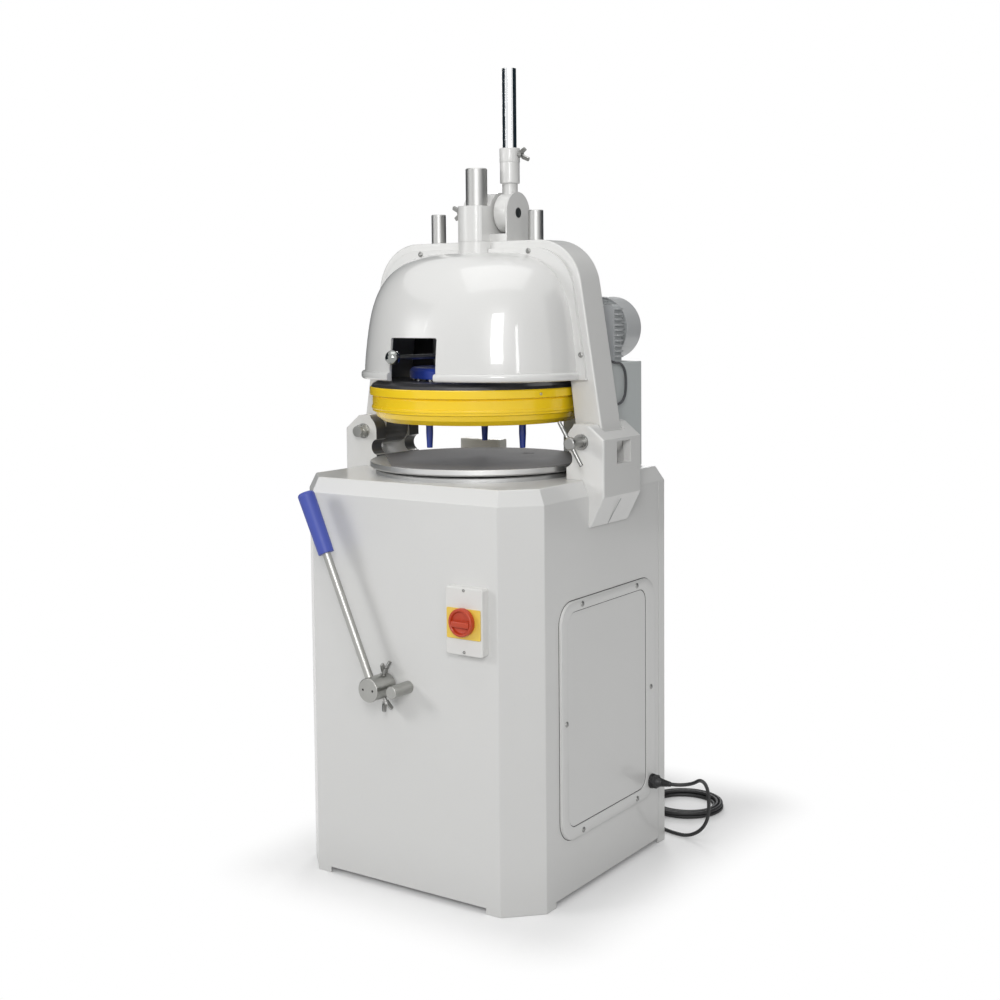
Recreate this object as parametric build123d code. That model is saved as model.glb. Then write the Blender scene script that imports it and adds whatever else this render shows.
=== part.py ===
from build123d import *
import math
import os

os.makedirs("parts", exist_ok=True)

# Dough divider and rounder: a cabinet with a lifting, orbiting table, and above it a tilting
# arch that carries a lever press with a ring, a knife grid and press plates.
# Millimetres. The press axis is the Z axis, the floor is Z = 0, the front looks to -Y.

# General clearances and fits
RUN_FIT = 0.05          # radial play of a shaft in its bore
SIDE_PLAY = 1.0         # play beside a part that swings or turns between two faces
TOUCH_GAP = 0.6         # gap left between parts that would just touch at the end of a stroke
FACE_GAP = 0.4          # gap between faces that pass each other

# Cabinet
FRONT_LEDGE = 42.0      # cabinet in front of the table
REAR_LEDGE = 48.0       # cabinet behind the table
CAB_TOP = 840.0
CAB_WALL = 3.0
CAB_EDGE_R = 4.0
CAB_CHAMFER = 66.0
BEVEL_IN = 14.5
BEVEL_DROP = 31.0
SEAM_IN = 30.0
SEAM_W = 1.6
SEAM_D = 1.0
FOOT_LENGTH = 34.0
FOOT_HEIGHT = 12.0
BASE_PLATE_Z = 60.0
BASE_PLATE_T = 5.0
TABLE_HOLE_R = 75.0

# Access panel on the right side
PANEL_FRONT = 116.0
PANEL_REAR = 58.0
PANEL_Z = (122.0, 606.0)
PANEL_T = 4.0
PANEL_CORNER_R = 45.0
PANEL_LAP = 34.0
PANEL_SCREW_SPREAD = 112.0
PANEL_SCREW_EDGE = 10.0
PANEL_SCREW_SIDE = 18.0
SCREW_HEAD_R = 6.0
SCREW_HEAD_T = 3.0

# Main switch on the front
SWITCH_X = 168.0
SWITCH_Z = 583.0
SWITCH_W = 88.0
SWITCH_H = 134.0
SWITCH_D = 20.0
SWITCH_PLATE_W = 80.0
SWITCH_PLATE_H = 60.0
SWITCH_PLATE_T = 2.0
SWITCH_PLATE_RISE = -4.0
SWITCH_KNOB_R = 28.0
SWITCH_KNOB_T = 9.0
SWITCH_GRIP_W = 13.0
SWITCH_GRIP_T = 13.0
SWITCH_STEM_R = 6.0

# Table, its lift and its orbit
TABLE_R = 234.0
TABLE_T = 13.0
TABLE_RISE = 28.0       # top of the table above the cabinet
SHEET_T = 1.6
SHEET_MARGIN = 3.0
SHEET_CUT = 35.0
SHEET_CUT_ANGLE = 222.0
SHEET_SLOT = (26.0, 8.0)
SHEET_SLOT_AT = (39.5, 134.5)
SHEET_SLOT_TURN = 20.0
BED_IN = 12.0
BED_H = 9.0
ORBIT_R = 10.0
ORBIT_START = 90.0      # degrees, where the crank pin stands at rest
CRANK_FLANGE_R = 45.0
CRANK_FLANGE_T = 9.0
CRANK_SHAFT_R = 16.0
CRANK_PIN_R = 14.0
CRANK_PIN_H = 10.0
COLUMN_R = 22.0
COLUMN_FOOT = 128.0     # column below the lever shaft
COLUMN_GAP = 29.3       # raised column below the large pulley
LIFT_MODULE = 4.0
LIFT_TEETH = 17
LIFT_RACK_IN = 6.0      # pitch line of the rack from the column's axis
LEVER_SWING = 45.0      # degrees of the front lever
GUIDE_R = 36.0
GUIDE_FOOT_R = 70.0
GUIDE_DROP = 44.0       # top of the guide below the lever shaft

# Drive: a flat belt under the table, an upright shaft and a closed gear case behind it
DRIVE_IN_X = 44.0       # shaft inside the table's radius, along X and along Y
DRIVE_IN_Y = 28.0
DRIVE_R = 8.0
DRIVE_END = 8.0
DRIVE_PULLEY_R = 32.0
CRANK_PULLEY_R = 80.0
BELT_DROP = 84.0        # lower edge of the belt below the cabinet's top
BELT_W = 16.0
BELT_T = 6.0
JOURNAL_R = 24.0
JOURNAL_DROP = 10.0
PULLEY_HUB = 10.0
HOUSING_FLANGE_R = 95.0
GEAR_CASE_SIDES = (78.0, 36.0)
GEAR_CASE_HALF = 16.0
GEAR_CASE_RISE = 52.0
GEAR_CASE_FOOT = (56.0, 30.0)

# Motor and its stand
MOTOR_OFF = 44.0        # motor axis beside the upright shaft
MOTOR_R = 56.0
MOTOR_FIN_H = 8.0
MOTOR_FINS = 30
MOTOR_FIN_T = 3.0
MOTOR_LENGTH = 58.0
MOTOR_FLANGE_T = 6.0
MOTOR_SHAFT_R = 9.0
COWL_RISE = 6.0
COWL_LAP = 14.0
COWL_DEPTH = 74.0
COWL_WALL = 2.0
COWL_CORNER_R = 16.0
FAN_ROOM = 10.0
FAN_BLADES = 7
STAND_GAP = 15.7        # room between the table and the stand's slanted walls
STAND_WALLS = (43.6, 66.0)
STAND_LEFT = 130.0
STAND_RIGHT = 53.0
STAND_H = 230.0
STAND_WALL = 3.0
LEAD_R = 3.0
LEAD_ROUTE = ((205, 190, 1120), (205, 150.9, 1120), (211.1, 135.1, 1113.2), (221.4, 126, 1101.8),
              (233.6, 126, 1088.2), (243.9, 135.1, 1076.8), (250, 150.9, 1070), (250, 171.6, 1070),
              (250, 188.4, 1060.4), (250, 198, 1043.6), (250, 198, 1007), (250, 188.4, 990.2),
              (250, 171.6, 980.6), (250, 150, 980.6))
BLOCK_SIDE = (75.0, 187.0)
BLOCK_BACK = (42.0, 6.0)
BLOCK_H = 42.0

# Bracket castings that carry the arch
BRACKET_GAP = 4.0       # room between the orbiting table and a bracket
BRACKET_OUT = 36.0
BRACKET_PLATE_T = 18.0
CHEEK_T = 35.0
BRACKET_FOOT_T = 18.0
BRACKET_DROP = 33.0
BRACKET_TOE = 95.0
EYE_IN = 16.0
EYE_RISE = 78.0
CHEEK_EYE_R = 36.0
LEG_EYE_R = 33.0
PIVOT_R = 12.0
CLAMP_R = 10.0
LEFT_PLATE_H = 56.0
WINDOW_Y = (9.0, 66.0)
WINDOW_RISE = (31.0, 77.0)

# Arch: its legs are set out from the eyes, its beam from the cover
ARCH_Y = (-7.0, 73.0)
ARCH_FOOT_AT = (26.0, 23.0)
ARCH_SHOULDER_AT = (-22.0, 320.0)
ARCH_SHOULDER_R = 105.0
LEG_IN_AT = (-38.0, 28.0)
LEG_IN_TOP = -73.0
BEAM_H = 95.0
ARCH_WALL = 14.0
ARCH_INNER_R = 70.0
CASTING_EDGE_R = 4.0

# Ram, guide rods and press lever
RAM_R = 23.0
RAM_RISE = 80.0
BOSS_R = 40.0
ROD_X = 127.0
ROD_Y = 35.0
ROD_R = 16.0
ROD_RISE = 64.0
ROD_BOSS_R = 26.0
RACK_MODULE = 3.0
RACK_IN = 18.0          # pitch line of the rack from the ram's axis
PINION_TEETH = 20
PINION_W = 24.0
LEVER_RANGE = 110.0     # degrees of the press lever
LEVER_RISE = 61.0
HOUSING_R = 44.0
HOUSING_H = 75.0
HOUSING_FLAT_X = 31.0
LEVER_X = 53.5
LEVER_HUB_T = 32.0
CHEEK_PLATE_T = 4.0
PINION_SHAFT_R = 11.0
NECK_R = 16.5
NECK_TOP = 62.0
SOCKET_R = 21.0
SOCKET_END = 136.0
TUBE_R = 15.0
TUBE_WALL = 2.5
TUBE_END = 304.0
TUBE_IN = 70.0

# Ring, knives and press plates
RING_IN = 36.0          # bore of the ring inside the table's edge
RING_H = 73.0
RING_TOP_WALL = 34.5
RING_MID_WALL = 29.0
RING_LOW_WALL = 24.0
RING_FOOT_WALL = 7.0
RING_BAND_1 = 19.0
RING_BAND_2 = 51.0
CARRIER_T = 12.0
CARRIER_IN = 2.5
KNIFE_T = 3.0
KNIFE_RISE = 2.0
CELL_COUNTS = (3, 9, 18)
PLATE_T = 8.0
PLATE_GAP = 1.5
STEM_R = 4.0
STEM_GAP = 1.0
STEM_INSET = 12.0
POST_INSET = 11.2
POST_R = 7.5
POST_TIP_R = 6.0
POST_TAPER = 30.0
POST_ANGLE = -1.3
SPIDER_MARGIN = 21.8
SPIDER_T = 22.0
SPIDER_HUB_R = 62.0
SPIDER_HUB_H = 18.0
SLEEVE_R = 36.0

# Lock lever seen in the cover's window
LOCK_ANGLE = -104.5
LOCK_RING_T = 14.0
LOCK_RING_R = 50.0
LOCK_ROD_R = 5.0
BALL_R = 15.5
BALL_OUT = 34.0

# Head cover: each section is a drop below the arch's top and how far side and front draw in
COVER_GAP = 3.1
COVER_SIDE = 19.0
COVER_FRONT = -39.0
COVER_T = 6.0
FLANGE_T = 8.0
FLANGE_INSET = 16.0
COVER_SECTIONS = ((289, 0, 0), (210, 4, 5), (145, 14, 19), (95, 32, 43), (62, 58, 71), (39, 95, 105),
                  (26, 141, 143))
LIP_H = 17.0
LIP_OUT = 9.0
WINDOW_X = (-84.0, 40.0)
WINDOW_H = 89.0
COVER_SCREWS = ((140.0, 23.0), (266.0, 237.0))

# Front lever
HUB_Z = 428.0
HUB_R = 24.5
HUB_LENGTH = 61.0
HUB_GAP = 3.0
HUB_SHAFT_R = 11.0
LEVER_LEAN = 24.0       # degrees to the left at rest
LEVER_ROD_R = 8.75
GRIP_START = 290.0
GRIP_END = 423.0
GRIP_LOW_R = 16.5
GRIP_TOP_R = 18.0
LIFT_W = 30.0
SHAFT_IN = 34.0
SHAFT_END = 44.0
ROD_IN = 14.0
HUB_SCREWS = ((-14, 16), (-160, 18))
HUB_SCREW_L = 22.0
SCREW_IN = 8.0
STOP_OFF = 54.0
STOP_Z = 429.0
STOP_R = 12.7
STOP_LENGTH = 58.0

# Clamp with T-bar on the right
CLAMP_COLLAR_R = 16.0
CLAMP_BOSS_R = 11.0
CLAMP_BOSS_L = 36.0
TBAR_R = 4.0
TBAR_L = 102.0
TBAR_ANGLE = 121.0

# Wing screws
WING_SPAN = 34.0
WING_T = 4.0
WING_STEM_R = 4.0
TOWER_SCREW_AT = (6.0, 63.0)

# Mains lead
CORD_R = 4.0
GLAND_Y = 208.0
GLAND_Z = 154.0
GLAND_FLANGE_R = 16.0
GLAND_NUT_R = 15.0
GLAND_LENGTH = 30.0
COIL_CENTRE = (238.0, 497.0)
COIL_R = 92.0
COIL_STEP = 9.0
COIL_TURNS = 5
COIL_LAYER = 8.7
COIL_LIFT = 0.02        # keeps the lowest turns just clear of the floor
CORD_ROUTE = ((334, 208, 154), (358.3, 208, 154), (379.7, 220.3, 154), (392, 241.7, 154), (392, 270.1, 154),
              (392, 298, 137.9), (392, 314, 110.1), (392, 314, 55.2), (373.2, 314, 22.7), (340.8, 314, 4),
              (304, 315, 4), (268, 327, 4), (234, 348, 4), (202, 377, 4), (174, 411, 4),
              (155, 447, 4), (146, 476, 4), (146, 497, 4))
TAIL_ROUTE = ((146, 497, 12.7), (146, 520, 12.7), (142, 545, 9), (131, 568, 5), (110, 585, 6),
              (84, 592, 14), (54, 592, 14))
PLUG_R = 14.0
PLUG_L = 46.0
PIN_R = 2.4
PIN_L = 19.0

# Plan, worked out from the table's radius
BRACKET_INNER = TABLE_R + ORBIT_R + BRACKET_GAP
EYE_X = BRACKET_INNER + CHEEK_EYE_R
CAB_HALF = EYE_X + EYE_IN
BRACKET_X = CAB_HALF + BRACKET_OUT
CAB_FRONT = -TABLE_R - FRONT_LEDGE
CAB_BACK = TABLE_R + REAR_LEDGE
SEAM_Y = CAB_BACK - SEAM_IN
PANEL_Y = (CAB_FRONT + PANEL_FRONT, CAB_BACK - PANEL_REAR)
SHEET_R = TABLE_R - SHEET_MARGIN
BED_R = TABLE_R - BED_IN
CRANK_X = ORBIT_R * math.cos(math.radians(ORBIT_START))
CRANK_Y = ORBIT_R * math.sin(math.radians(ORBIT_START))
RING_BORE_R = TABLE_R - RING_IN
RING_TOP_R = RING_BORE_R + RING_TOP_WALL
CARRIER_R = RING_TOP_R - CARRIER_IN
DRIVE_X = TABLE_R - DRIVE_IN_X
DRIVE_Y = TABLE_R - DRIVE_IN_Y
GEAR_CASE_X = (DRIVE_X - GEAR_CASE_SIDES[0], DRIVE_X + GEAR_CASE_SIDES[1])
GEAR_CASE_Y = (DRIVE_Y - GEAR_CASE_HALF, DRIVE_Y + GEAR_CASE_HALF)
MOTOR_X = DRIVE_X - MOTOR_OFF
MOTOR_Y = GEAR_CASE_Y[1]
MOTOR_FIN_R = MOTOR_R + MOTOR_FIN_H
COWL_R = MOTOR_FIN_R + COWL_RISE
COWL_START = MOTOR_Y + MOTOR_LENGTH - COWL_LAP
COWL_Y = (COWL_START, COWL_START + COWL_DEPTH)
STAND_R = TABLE_R + STAND_GAP
STAND_X = (DRIVE_X - STAND_LEFT, DRIVE_X + STAND_RIGHT)
CHEEK_FRONT = (ARCH_Y[0] - 2 * SIDE_PLAY - CHEEK_T, ARCH_Y[0] - 2 * SIDE_PLAY)
CHEEK_REAR = (ARCH_Y[1] + 2 * SIDE_PLAY, ARCH_Y[1] + 2 * SIDE_PLAY + CHEEK_T)
COVER_A = TABLE_R + COVER_SIDE
COVER_B = TABLE_R + COVER_FRONT
BALL_REACH = COVER_B + BALL_OUT
HUB_BACK = CAB_FRONT - HUB_GAP
HUB_FRONT = HUB_BACK - HUB_LENGTH
LEVER_ROD_Y = HUB_FRONT + GRIP_TOP_R
LIFT_R = LIFT_MODULE * LIFT_TEETH / 2
HUB_X = -LIFT_R - LIFT_RACK_IN
STOP_X = HUB_X + STOP_OFF
PINION_R = RACK_MODULE * PINION_TEETH / 2
LEVER_Y = PINION_R + RACK_IN

# Heights, worked out from the cabinet's top and the two strokes
LIFT = LIFT_R * math.radians(LEVER_SWING)
STROKE = PINION_R * math.radians(LEVER_RANGE)
TABLE_TOP = CAB_TOP + TABLE_RISE
TABLE_BOTTOM = TABLE_TOP - SHEET_T - TABLE_T
FLANGE_TOP = TABLE_BOTTOM - FACE_GAP
BELT_Z = (CAB_TOP - BELT_DROP, CAB_TOP - BELT_DROP + BELT_W)
JOURNAL_TOP = CAB_TOP - JOURNAL_DROP
COLUMN_TOP = BELT_Z[0] - PULLEY_HUB - COLUMN_GAP - LIFT
STAND_TOP = CAB_TOP + STAND_H
MOTOR_Z = STAND_TOP + COWL_R + 2 * SIDE_PLAY
EYE_Z = CAB_TOP + EYE_RISE
POST_BOTTOM = TABLE_TOP + LIFT + TOUCH_GAP
RING_BOTTOM = POST_BOTTOM + STROKE
RING_TOP = RING_BOTTOM + RING_H
CARRIER_TOP = RING_TOP + CARRIER_T
SPIDER_Z = CARRIER_TOP + 5 * SIDE_PLAY
SPIDER_TOP = SPIDER_Z + SPIDER_T
HUB_TOP = SPIDER_TOP + SPIDER_HUB_H
PLATE_Z = RING_BOTTOM + KNIFE_RISE + SIDE_PLAY
COVER_BOTTOM = CARRIER_TOP + COVER_GAP
ARCH_TOP = COVER_BOTTOM + COVER_SECTIONS[0][0]
ARCH_BEAM_Z = ARCH_TOP - BEAM_H
ARCH_FOOT = (EYE_X + ARCH_FOOT_AT[0], EYE_Z + ARCH_FOOT_AT[1])
ARCH_SHOULDER = (EYE_X + ARCH_SHOULDER_AT[0], EYE_Z + ARCH_SHOULDER_AT[1])
ARCH_LEG_IN = (EYE_X + LEG_IN_AT[0], EYE_Z + LEG_IN_AT[1])
LEVER_Z = ARCH_TOP + LEVER_RISE
HOUSING_TOP = ARCH_TOP + HOUSING_H
RAM_TOP = HOUSING_TOP + RAM_RISE
ROD_TOP = ARCH_TOP + ROD_RISE
TOWER_SCREW = (TOWER_SCREW_AT[0], ARCH_TOP + TOWER_SCREW_AT[1])


def box(x, y, z):
    """Box from three (low, high) pairs."""
    size = [high - low for low, high in (x, y, z)]
    middle = [(high + low) / 2 for low, high in (x, y, z)]
    return Pos(*middle) * Box(*size)


def rod_z(x, y, r, z0, z1):
    return Pos(x, y, (z0 + z1) / 2) * Cylinder(r, z1 - z0)


def rod_y(x, z, r, y0, y1):
    return Pos(x, (y0 + y1) / 2, z) * Rot(90, 0, 0) * Cylinder(r, y1 - y0)


def rod_x(y, z, r, x0, x1):
    return Pos((x0 + x1) / 2, y, z) * Rot(0, 90, 0) * Cylinder(r, x1 - x0)


def rounded(points, corners=()):
    """Face from points, with (corner number, radius) pairs rounded."""
    face = make_face(Polyline(*points, close=True))
    for number, radius in corners:
        corner = face.vertices().sort_by_distance(Vector(*points[number]))[0]
        face = fillet(corner, radius)
    return face


def along_y(face, y0, y1):
    """Prism of a face drawn in X and Z, from y0 to y1."""
    return extrude(Plane.XZ.offset(-y1) * face, amount=y1 - y0)


def along_x(face, x0, x1):
    """Prism of a face drawn in Y and Z, from x0 to x1."""
    return extrude(Plane.YZ.offset(x0) * face, amount=x1 - x0)


def along_z(face, z0, z1):
    return extrude(Pos(0, 0, z0) * face, amount=z1 - z0)


def turned(points):
    """Solid of revolution about Z from (radius, height) points."""
    return revolve(make_face(Plane.XZ * Polyline(*points, close=True)), Axis.Z)


def turned_y(points, x, z):
    """Solid of revolution about a line along Y, from (radius, y) points."""
    return Pos(x, 0, z) * Rot(-90, 0, 0) * turned(points)


def gear(module, teeth, width):
    """Spur gear about Z, centred on its width, with one tooth on +X."""
    pitch_r = module * teeth / 2
    step = 2 * math.pi / teeth
    flanks = ((-0.27, -1.2), (-0.08, 0.8), (0.08, 0.8), (0.27, -1.2))
    points = []
    for tooth in range(teeth):
        for turn, height in flanks:
            angle = (tooth + turn) * step
            r = pitch_r + height * module
            points.append((r * math.cos(angle), r * math.sin(angle)))
    return extrude(make_face(Polyline(*points, close=True)), amount=width / 2, both=True)


def rack_cutters(module, travel, width, reach):
    """Cutters for a rack with its pitch line on Z: teeth point to +X, grooves climb from Z = 0."""
    pitch = math.pi * module
    count = int(travel / pitch) + 3
    low, high = -1.25 * module, 2.5 * module
    points = [(low, -0.2 * pitch), (high, -0.5 * pitch), (high, 0.5 * pitch), (low, 0.2 * pitch)]
    groove = along_y(make_face(Polyline(*points, close=True)), -width / 2, width / 2)
    flat = box((0.8 * module, width), (-width / 2, width / 2), (-reach, travel + reach))
    return [flat] + [Pos(0, 0, pitch * number) * groove for number in range(-1, count)]


def wing_screw(length):
    """Screw along +Z whose stem starts at Z = 0 and whose wings stand at its end."""
    stem = rod_z(0, 0, WING_STEM_R, 0, length)
    hub = rod_z(0, 0, 1.7 * WING_STEM_R, length - 2 * WING_T, length)
    half = WING_SPAN / 2
    low, high = length - WING_T, length + 2.5 * WING_T
    wing = rounded(((-half, high), (-half * 0.55, low), (half * 0.55, low), (half, high),
                    (half * 0.55, high + WING_T), (0, length), (-half * 0.55, high + WING_T)),
                   ((0, 2), (3, 2), (4, 2), (6, 2)))
    return stem + hub + along_y(wing, -WING_T / 2, WING_T / 2)


def cab_outline(inset, z):
    """Cabinet plan with both front corners cut at 45 degrees, drawn in by an inset."""
    half = CAB_HALF - inset
    front, back = CAB_FRONT + inset, CAB_BACK - inset
    cut = CAB_CHAMFER - inset * (2 - math.sqrt(2))
    points = [(-half + cut, front), (half - cut, front), (half, front + cut),
              (half, back), (-half, back), (-half, front + cut)]
    return Pos(0, 0, z) * make_face(Polyline(*points, close=True))


def cab_solid(inset, bottom):
    """Cabinet block with its bevelled top edge."""
    shoulder = CAB_TOP - BEVEL_DROP
    body = extrude(cab_outline(inset, bottom), amount=shoulder - bottom)
    cap = loft([cab_outline(inset, shoulder), cab_outline(BEVEL_IN + inset, CAB_TOP - inset)], ruled=True)
    return body + cap


def belt_line(grow):
    """Plan outline round both pulleys, grown outwards."""
    big, small = CRANK_PULLEY_R + grow, DRIVE_PULLEY_R + grow
    span = math.hypot(DRIVE_X, DRIVE_Y)
    lean = math.atan2(DRIVE_Y, DRIVE_X)
    wrap = math.acos((big - small) / span)
    sides = []
    for angle in (lean + wrap, lean - wrap):
        sides.append((big * math.cos(angle), big * math.sin(angle)))
        sides.append((small * math.cos(angle) + DRIVE_X, small * math.sin(angle) + DRIVE_Y))
    body = make_face(Polyline(sides[0], sides[1], sides[3], sides[2], close=True))
    return body + Circle(big) + Pos(DRIVE_X, DRIVE_Y) * Circle(small)


def cabinet():
    block = cab_solid(0, 0)
    floor_edges = block.edges().group_by(Axis.Z)[0]
    block = fillet(block.edges() - floor_edges, CAB_EDGE_R)
    shell = block - cab_solid(CAB_WALL, -CAB_WALL)
    reach = 2 * CAB_HALF
    side = (CAB_FRONT + CAB_CHAMFER + FOOT_LENGTH, CAB_BACK - FOOT_LENGTH)
    front = CAB_HALF - CAB_CHAMFER - FOOT_LENGTH
    shell -= box((-reach, reach), side, (0, FOOT_HEIGHT))
    shell -= box((-front, front), (-reach, reach), (0, FOOT_HEIGHT))
    shell -= rod_z(0, 0, TABLE_HOLE_R, CAB_TOP - 2 * CAB_WALL, CAB_TOP + CAB_WALL)
    shell -= rod_z(DRIVE_X, DRIVE_Y, 2 * DRIVE_R, CAB_TOP - 2 * CAB_WALL, CAB_TOP + CAB_WALL)
    shell -= rod_y(HUB_X, HUB_Z, HUB_SHAFT_R + 5, CAB_FRONT - CAB_WALL, CAB_FRONT + 2 * CAB_WALL)
    shell -= rod_y(SWITCH_X, SWITCH_Z, 2 * SWITCH_STEM_R, CAB_FRONT - CAB_WALL, CAB_FRONT + 2 * CAB_WALL)
    shell -= rod_x(GLAND_Y, GLAND_Z, GLAND_FLANGE_R - 4, CAB_HALF - 2 * CAB_WALL, CAB_HALF + CAB_WALL)
    service = [(low + PANEL_LAP, high - PANEL_LAP) for low, high in (PANEL_Y, PANEL_Z)]
    shell -= box((CAB_HALF - 2 * CAB_WALL, CAB_HALF + CAB_WALL), service[0], service[1])
    for side in (-1, 1):
        wall = sorted((side * (CAB_HALF - SEAM_D), side * (CAB_HALF + 1)))
        shell -= box(wall, (SEAM_Y - SEAM_W / 2, SEAM_Y + SEAM_W / 2), (-1, CAB_TOP - BEVEL_DROP))
    return shell


def base_plate():
    return extrude(cab_outline(CAB_WALL, BASE_PLATE_Z), amount=BASE_PLATE_T)


def access_panel():
    (y0, y1), (z0, z1) = PANEL_Y, PANEL_Z
    plan = rounded(((y0, z0), (y1, z0), (y1, z1), (y0, z1)),
                   [(corner, PANEL_CORNER_R) for corner in range(4)])
    plate = along_x(plan, CAB_HALF, CAB_HALF + PANEL_T)
    plate = chamfer(plate.faces().sort_by(Axis.X)[-1].edges(), PANEL_T / 2)
    return plate - rod_x(GLAND_Y, GLAND_Z, GLAND_FLANGE_R - 4, CAB_HALF - 1, CAB_HALF + PANEL_T + 1)


def panel_screws():
    """Two screws above, two below and one at each side."""
    (y0, y1), (z0, z1) = PANEL_Y, PANEL_Z
    x = CAB_HALF + PANEL_T
    middle = (y0 + y1) / 2
    places = [(y, (z0 + z1) / 2) for y in (y0 + PANEL_SCREW_SIDE, y1 - PANEL_SCREW_SIDE)]
    for z in (z0 + PANEL_SCREW_EDGE, z1 - PANEL_SCREW_EDGE):
        places += [(middle - PANEL_SCREW_SPREAD, z), (middle + PANEL_SCREW_SPREAD, z)]
    return Compound(children=[rod_x(y, z, SCREW_HEAD_R, x, x + SCREW_HEAD_T) for y, z in places])


def switch_box():
    half_w, half_h = SWITCH_W / 2, SWITCH_H / 2
    case = box((SWITCH_X - half_w, SWITCH_X + half_w), (CAB_FRONT - SWITCH_D, CAB_FRONT),
               (SWITCH_Z - half_h, SWITCH_Z + half_h))
    case = fillet(case.edges().filter_by(Axis.Y), 6)
    case = fillet(case.faces().sort_by(Axis.Y)[0].edges(), 2.5)
    return case - rod_y(SWITCH_X, SWITCH_Z, SWITCH_STEM_R + RUN_FIT, CAB_FRONT - 2 * SWITCH_D, CAB_FRONT + 1)


def switch_plate():
    front = CAB_FRONT - SWITCH_D
    half_w, half_h = SWITCH_PLATE_W / 2, SWITCH_PLATE_H / 2
    middle = SWITCH_Z + SWITCH_PLATE_RISE
    plate = box((SWITCH_X - half_w, SWITCH_X + half_w), (front - SWITCH_PLATE_T, front),
                (middle - half_h, middle + half_h))
    plate = fillet(plate.edges().filter_by(Axis.Y), 3)
    return plate - rod_y(SWITCH_X, SWITCH_Z, SWITCH_STEM_R + 1, front - SWITCH_D, front + 1)


def switch_knob():
    front = CAB_FRONT - SWITCH_D - SWITCH_PLATE_T - FACE_GAP
    disc = rod_y(SWITCH_X, SWITCH_Z, SWITCH_KNOB_R, front - SWITCH_KNOB_T, front)
    disc = fillet(disc.faces().sort_by(Axis.Y)[0].edges(), 3)
    reach = SWITCH_KNOB_R - 2
    grip = box((SWITCH_X - reach, SWITCH_X + reach),
               (front - SWITCH_KNOB_T - SWITCH_GRIP_T, front - SWITCH_KNOB_T / 2),
               (SWITCH_Z - SWITCH_GRIP_W / 2, SWITCH_Z + SWITCH_GRIP_W / 2))
    grip = fillet(grip.edges().filter_by(Axis.Y), 5)
    grip = fillet(grip.faces().sort_by(Axis.Y)[0].edges(), 2)
    stem = rod_y(SWITCH_X, SWITCH_Z, SWITCH_STEM_R, front, CAB_FRONT - CAB_WALL)
    return disc + grip + stem


def bracket_face():
    """Side view of the right bracket: foot, eye, slanted top and the toe on the cabinet's side."""
    shoulder = CAB_TOP - BEVEL_DROP
    points = [(BRACKET_INNER, CAB_TOP), (BRACKET_INNER, CAB_TOP + BRACKET_FOOT_T),
              (EYE_X - CHEEK_EYE_R, EYE_Z), (EYE_X - CHEEK_EYE_R / 2, EYE_Z + CHEEK_EYE_R),
              (EYE_X + 16, EYE_Z + CHEEK_EYE_R - 2), (BRACKET_X, EYE_Z + 5),
              (BRACKET_X, CAB_TOP - BRACKET_DROP),
              (CAB_HALF + 4, CAB_TOP - BRACKET_TOE), (CAB_HALF, CAB_TOP - BRACKET_TOE), (CAB_HALF, shoulder),
              (CAB_HALF - BEVEL_IN, CAB_TOP)]
    face = make_face(Polyline(*points, close=True))
    neck = Pos(EYE_X - CHEEK_EYE_R - 4, (EYE_Z + CAB_TOP) / 2 + 4) * Circle(CHEEK_EYE_R / 2)
    return face + Pos(EYE_X, EYE_Z) * Circle(CHEEK_EYE_R) - neck


def bracket(plate_top, bore_r):
    """Right bracket: two cheeks on one foot, joined by an outer plate with a window."""
    body = along_y(bracket_face(), CHEEK_FRONT[0], CHEEK_REAR[1])
    rims = body.faces().filter_by(Axis.Y).edges()
    outer = rims.filter_by(lambda edge: edge.bounding_box().max.X > EYE_X + CHEEK_EYE_R)
    body = fillet(outer, CASTING_EDGE_R)
    gap = (CHEEK_FRONT[1], CHEEK_REAR[0])
    floor = CAB_TOP + BRACKET_FOOT_T
    body -= box((BRACKET_INNER - 20, BRACKET_X - BRACKET_PLATE_T), gap, (floor, EYE_Z + 2 * CHEEK_EYE_R))
    body -= box((BRACKET_INNER, BRACKET_X + 1), gap, (plate_top, plate_top + 4 * CHEEK_EYE_R))
    top = min(CAB_TOP + WINDOW_RISE[1], plate_top - BRACKET_PLATE_T / 2)
    body -= box((BRACKET_X - 2 * BRACKET_PLATE_T, BRACKET_X + 1), WINDOW_Y, (CAB_TOP + WINDOW_RISE[0], top))
    return body - rod_y(EYE_X, EYE_Z, bore_r, CHEEK_FRONT[0] - 1, CHEEK_REAR[1] + 1)


def bracket_right():
    return bracket(EYE_Z + 2 * CHEEK_EYE_R, CLAMP_R + RUN_FIT)


def bracket_left():
    return mirror(bracket(CAB_TOP + LEFT_PLATE_H, PIVOT_R), Plane.YZ)


def pivot_bolt():
    """Fixed bolt on which the arch tilts, with its washer and nut at the front."""
    front = CHEEK_FRONT[0]
    bolt = rod_y(-EYE_X, EYE_Z, PIVOT_R, front - 24, CHEEK_REAR[1] + 6)
    washer = rod_y(-EYE_X, EYE_Z, 1.4 * PIVOT_R, front - 3, front)
    nut = along_y(Pos(-EYE_X, EYE_Z) * RegularPolygon(1.3 * PIVOT_R, 6), front - 14, front - 3)
    head = along_y(Pos(-EYE_X, EYE_Z) * RegularPolygon(1.3 * PIVOT_R, 6), CHEEK_REAR[1], CHEEK_REAR[1] + 10)
    return bolt + washer + nut + head


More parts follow.
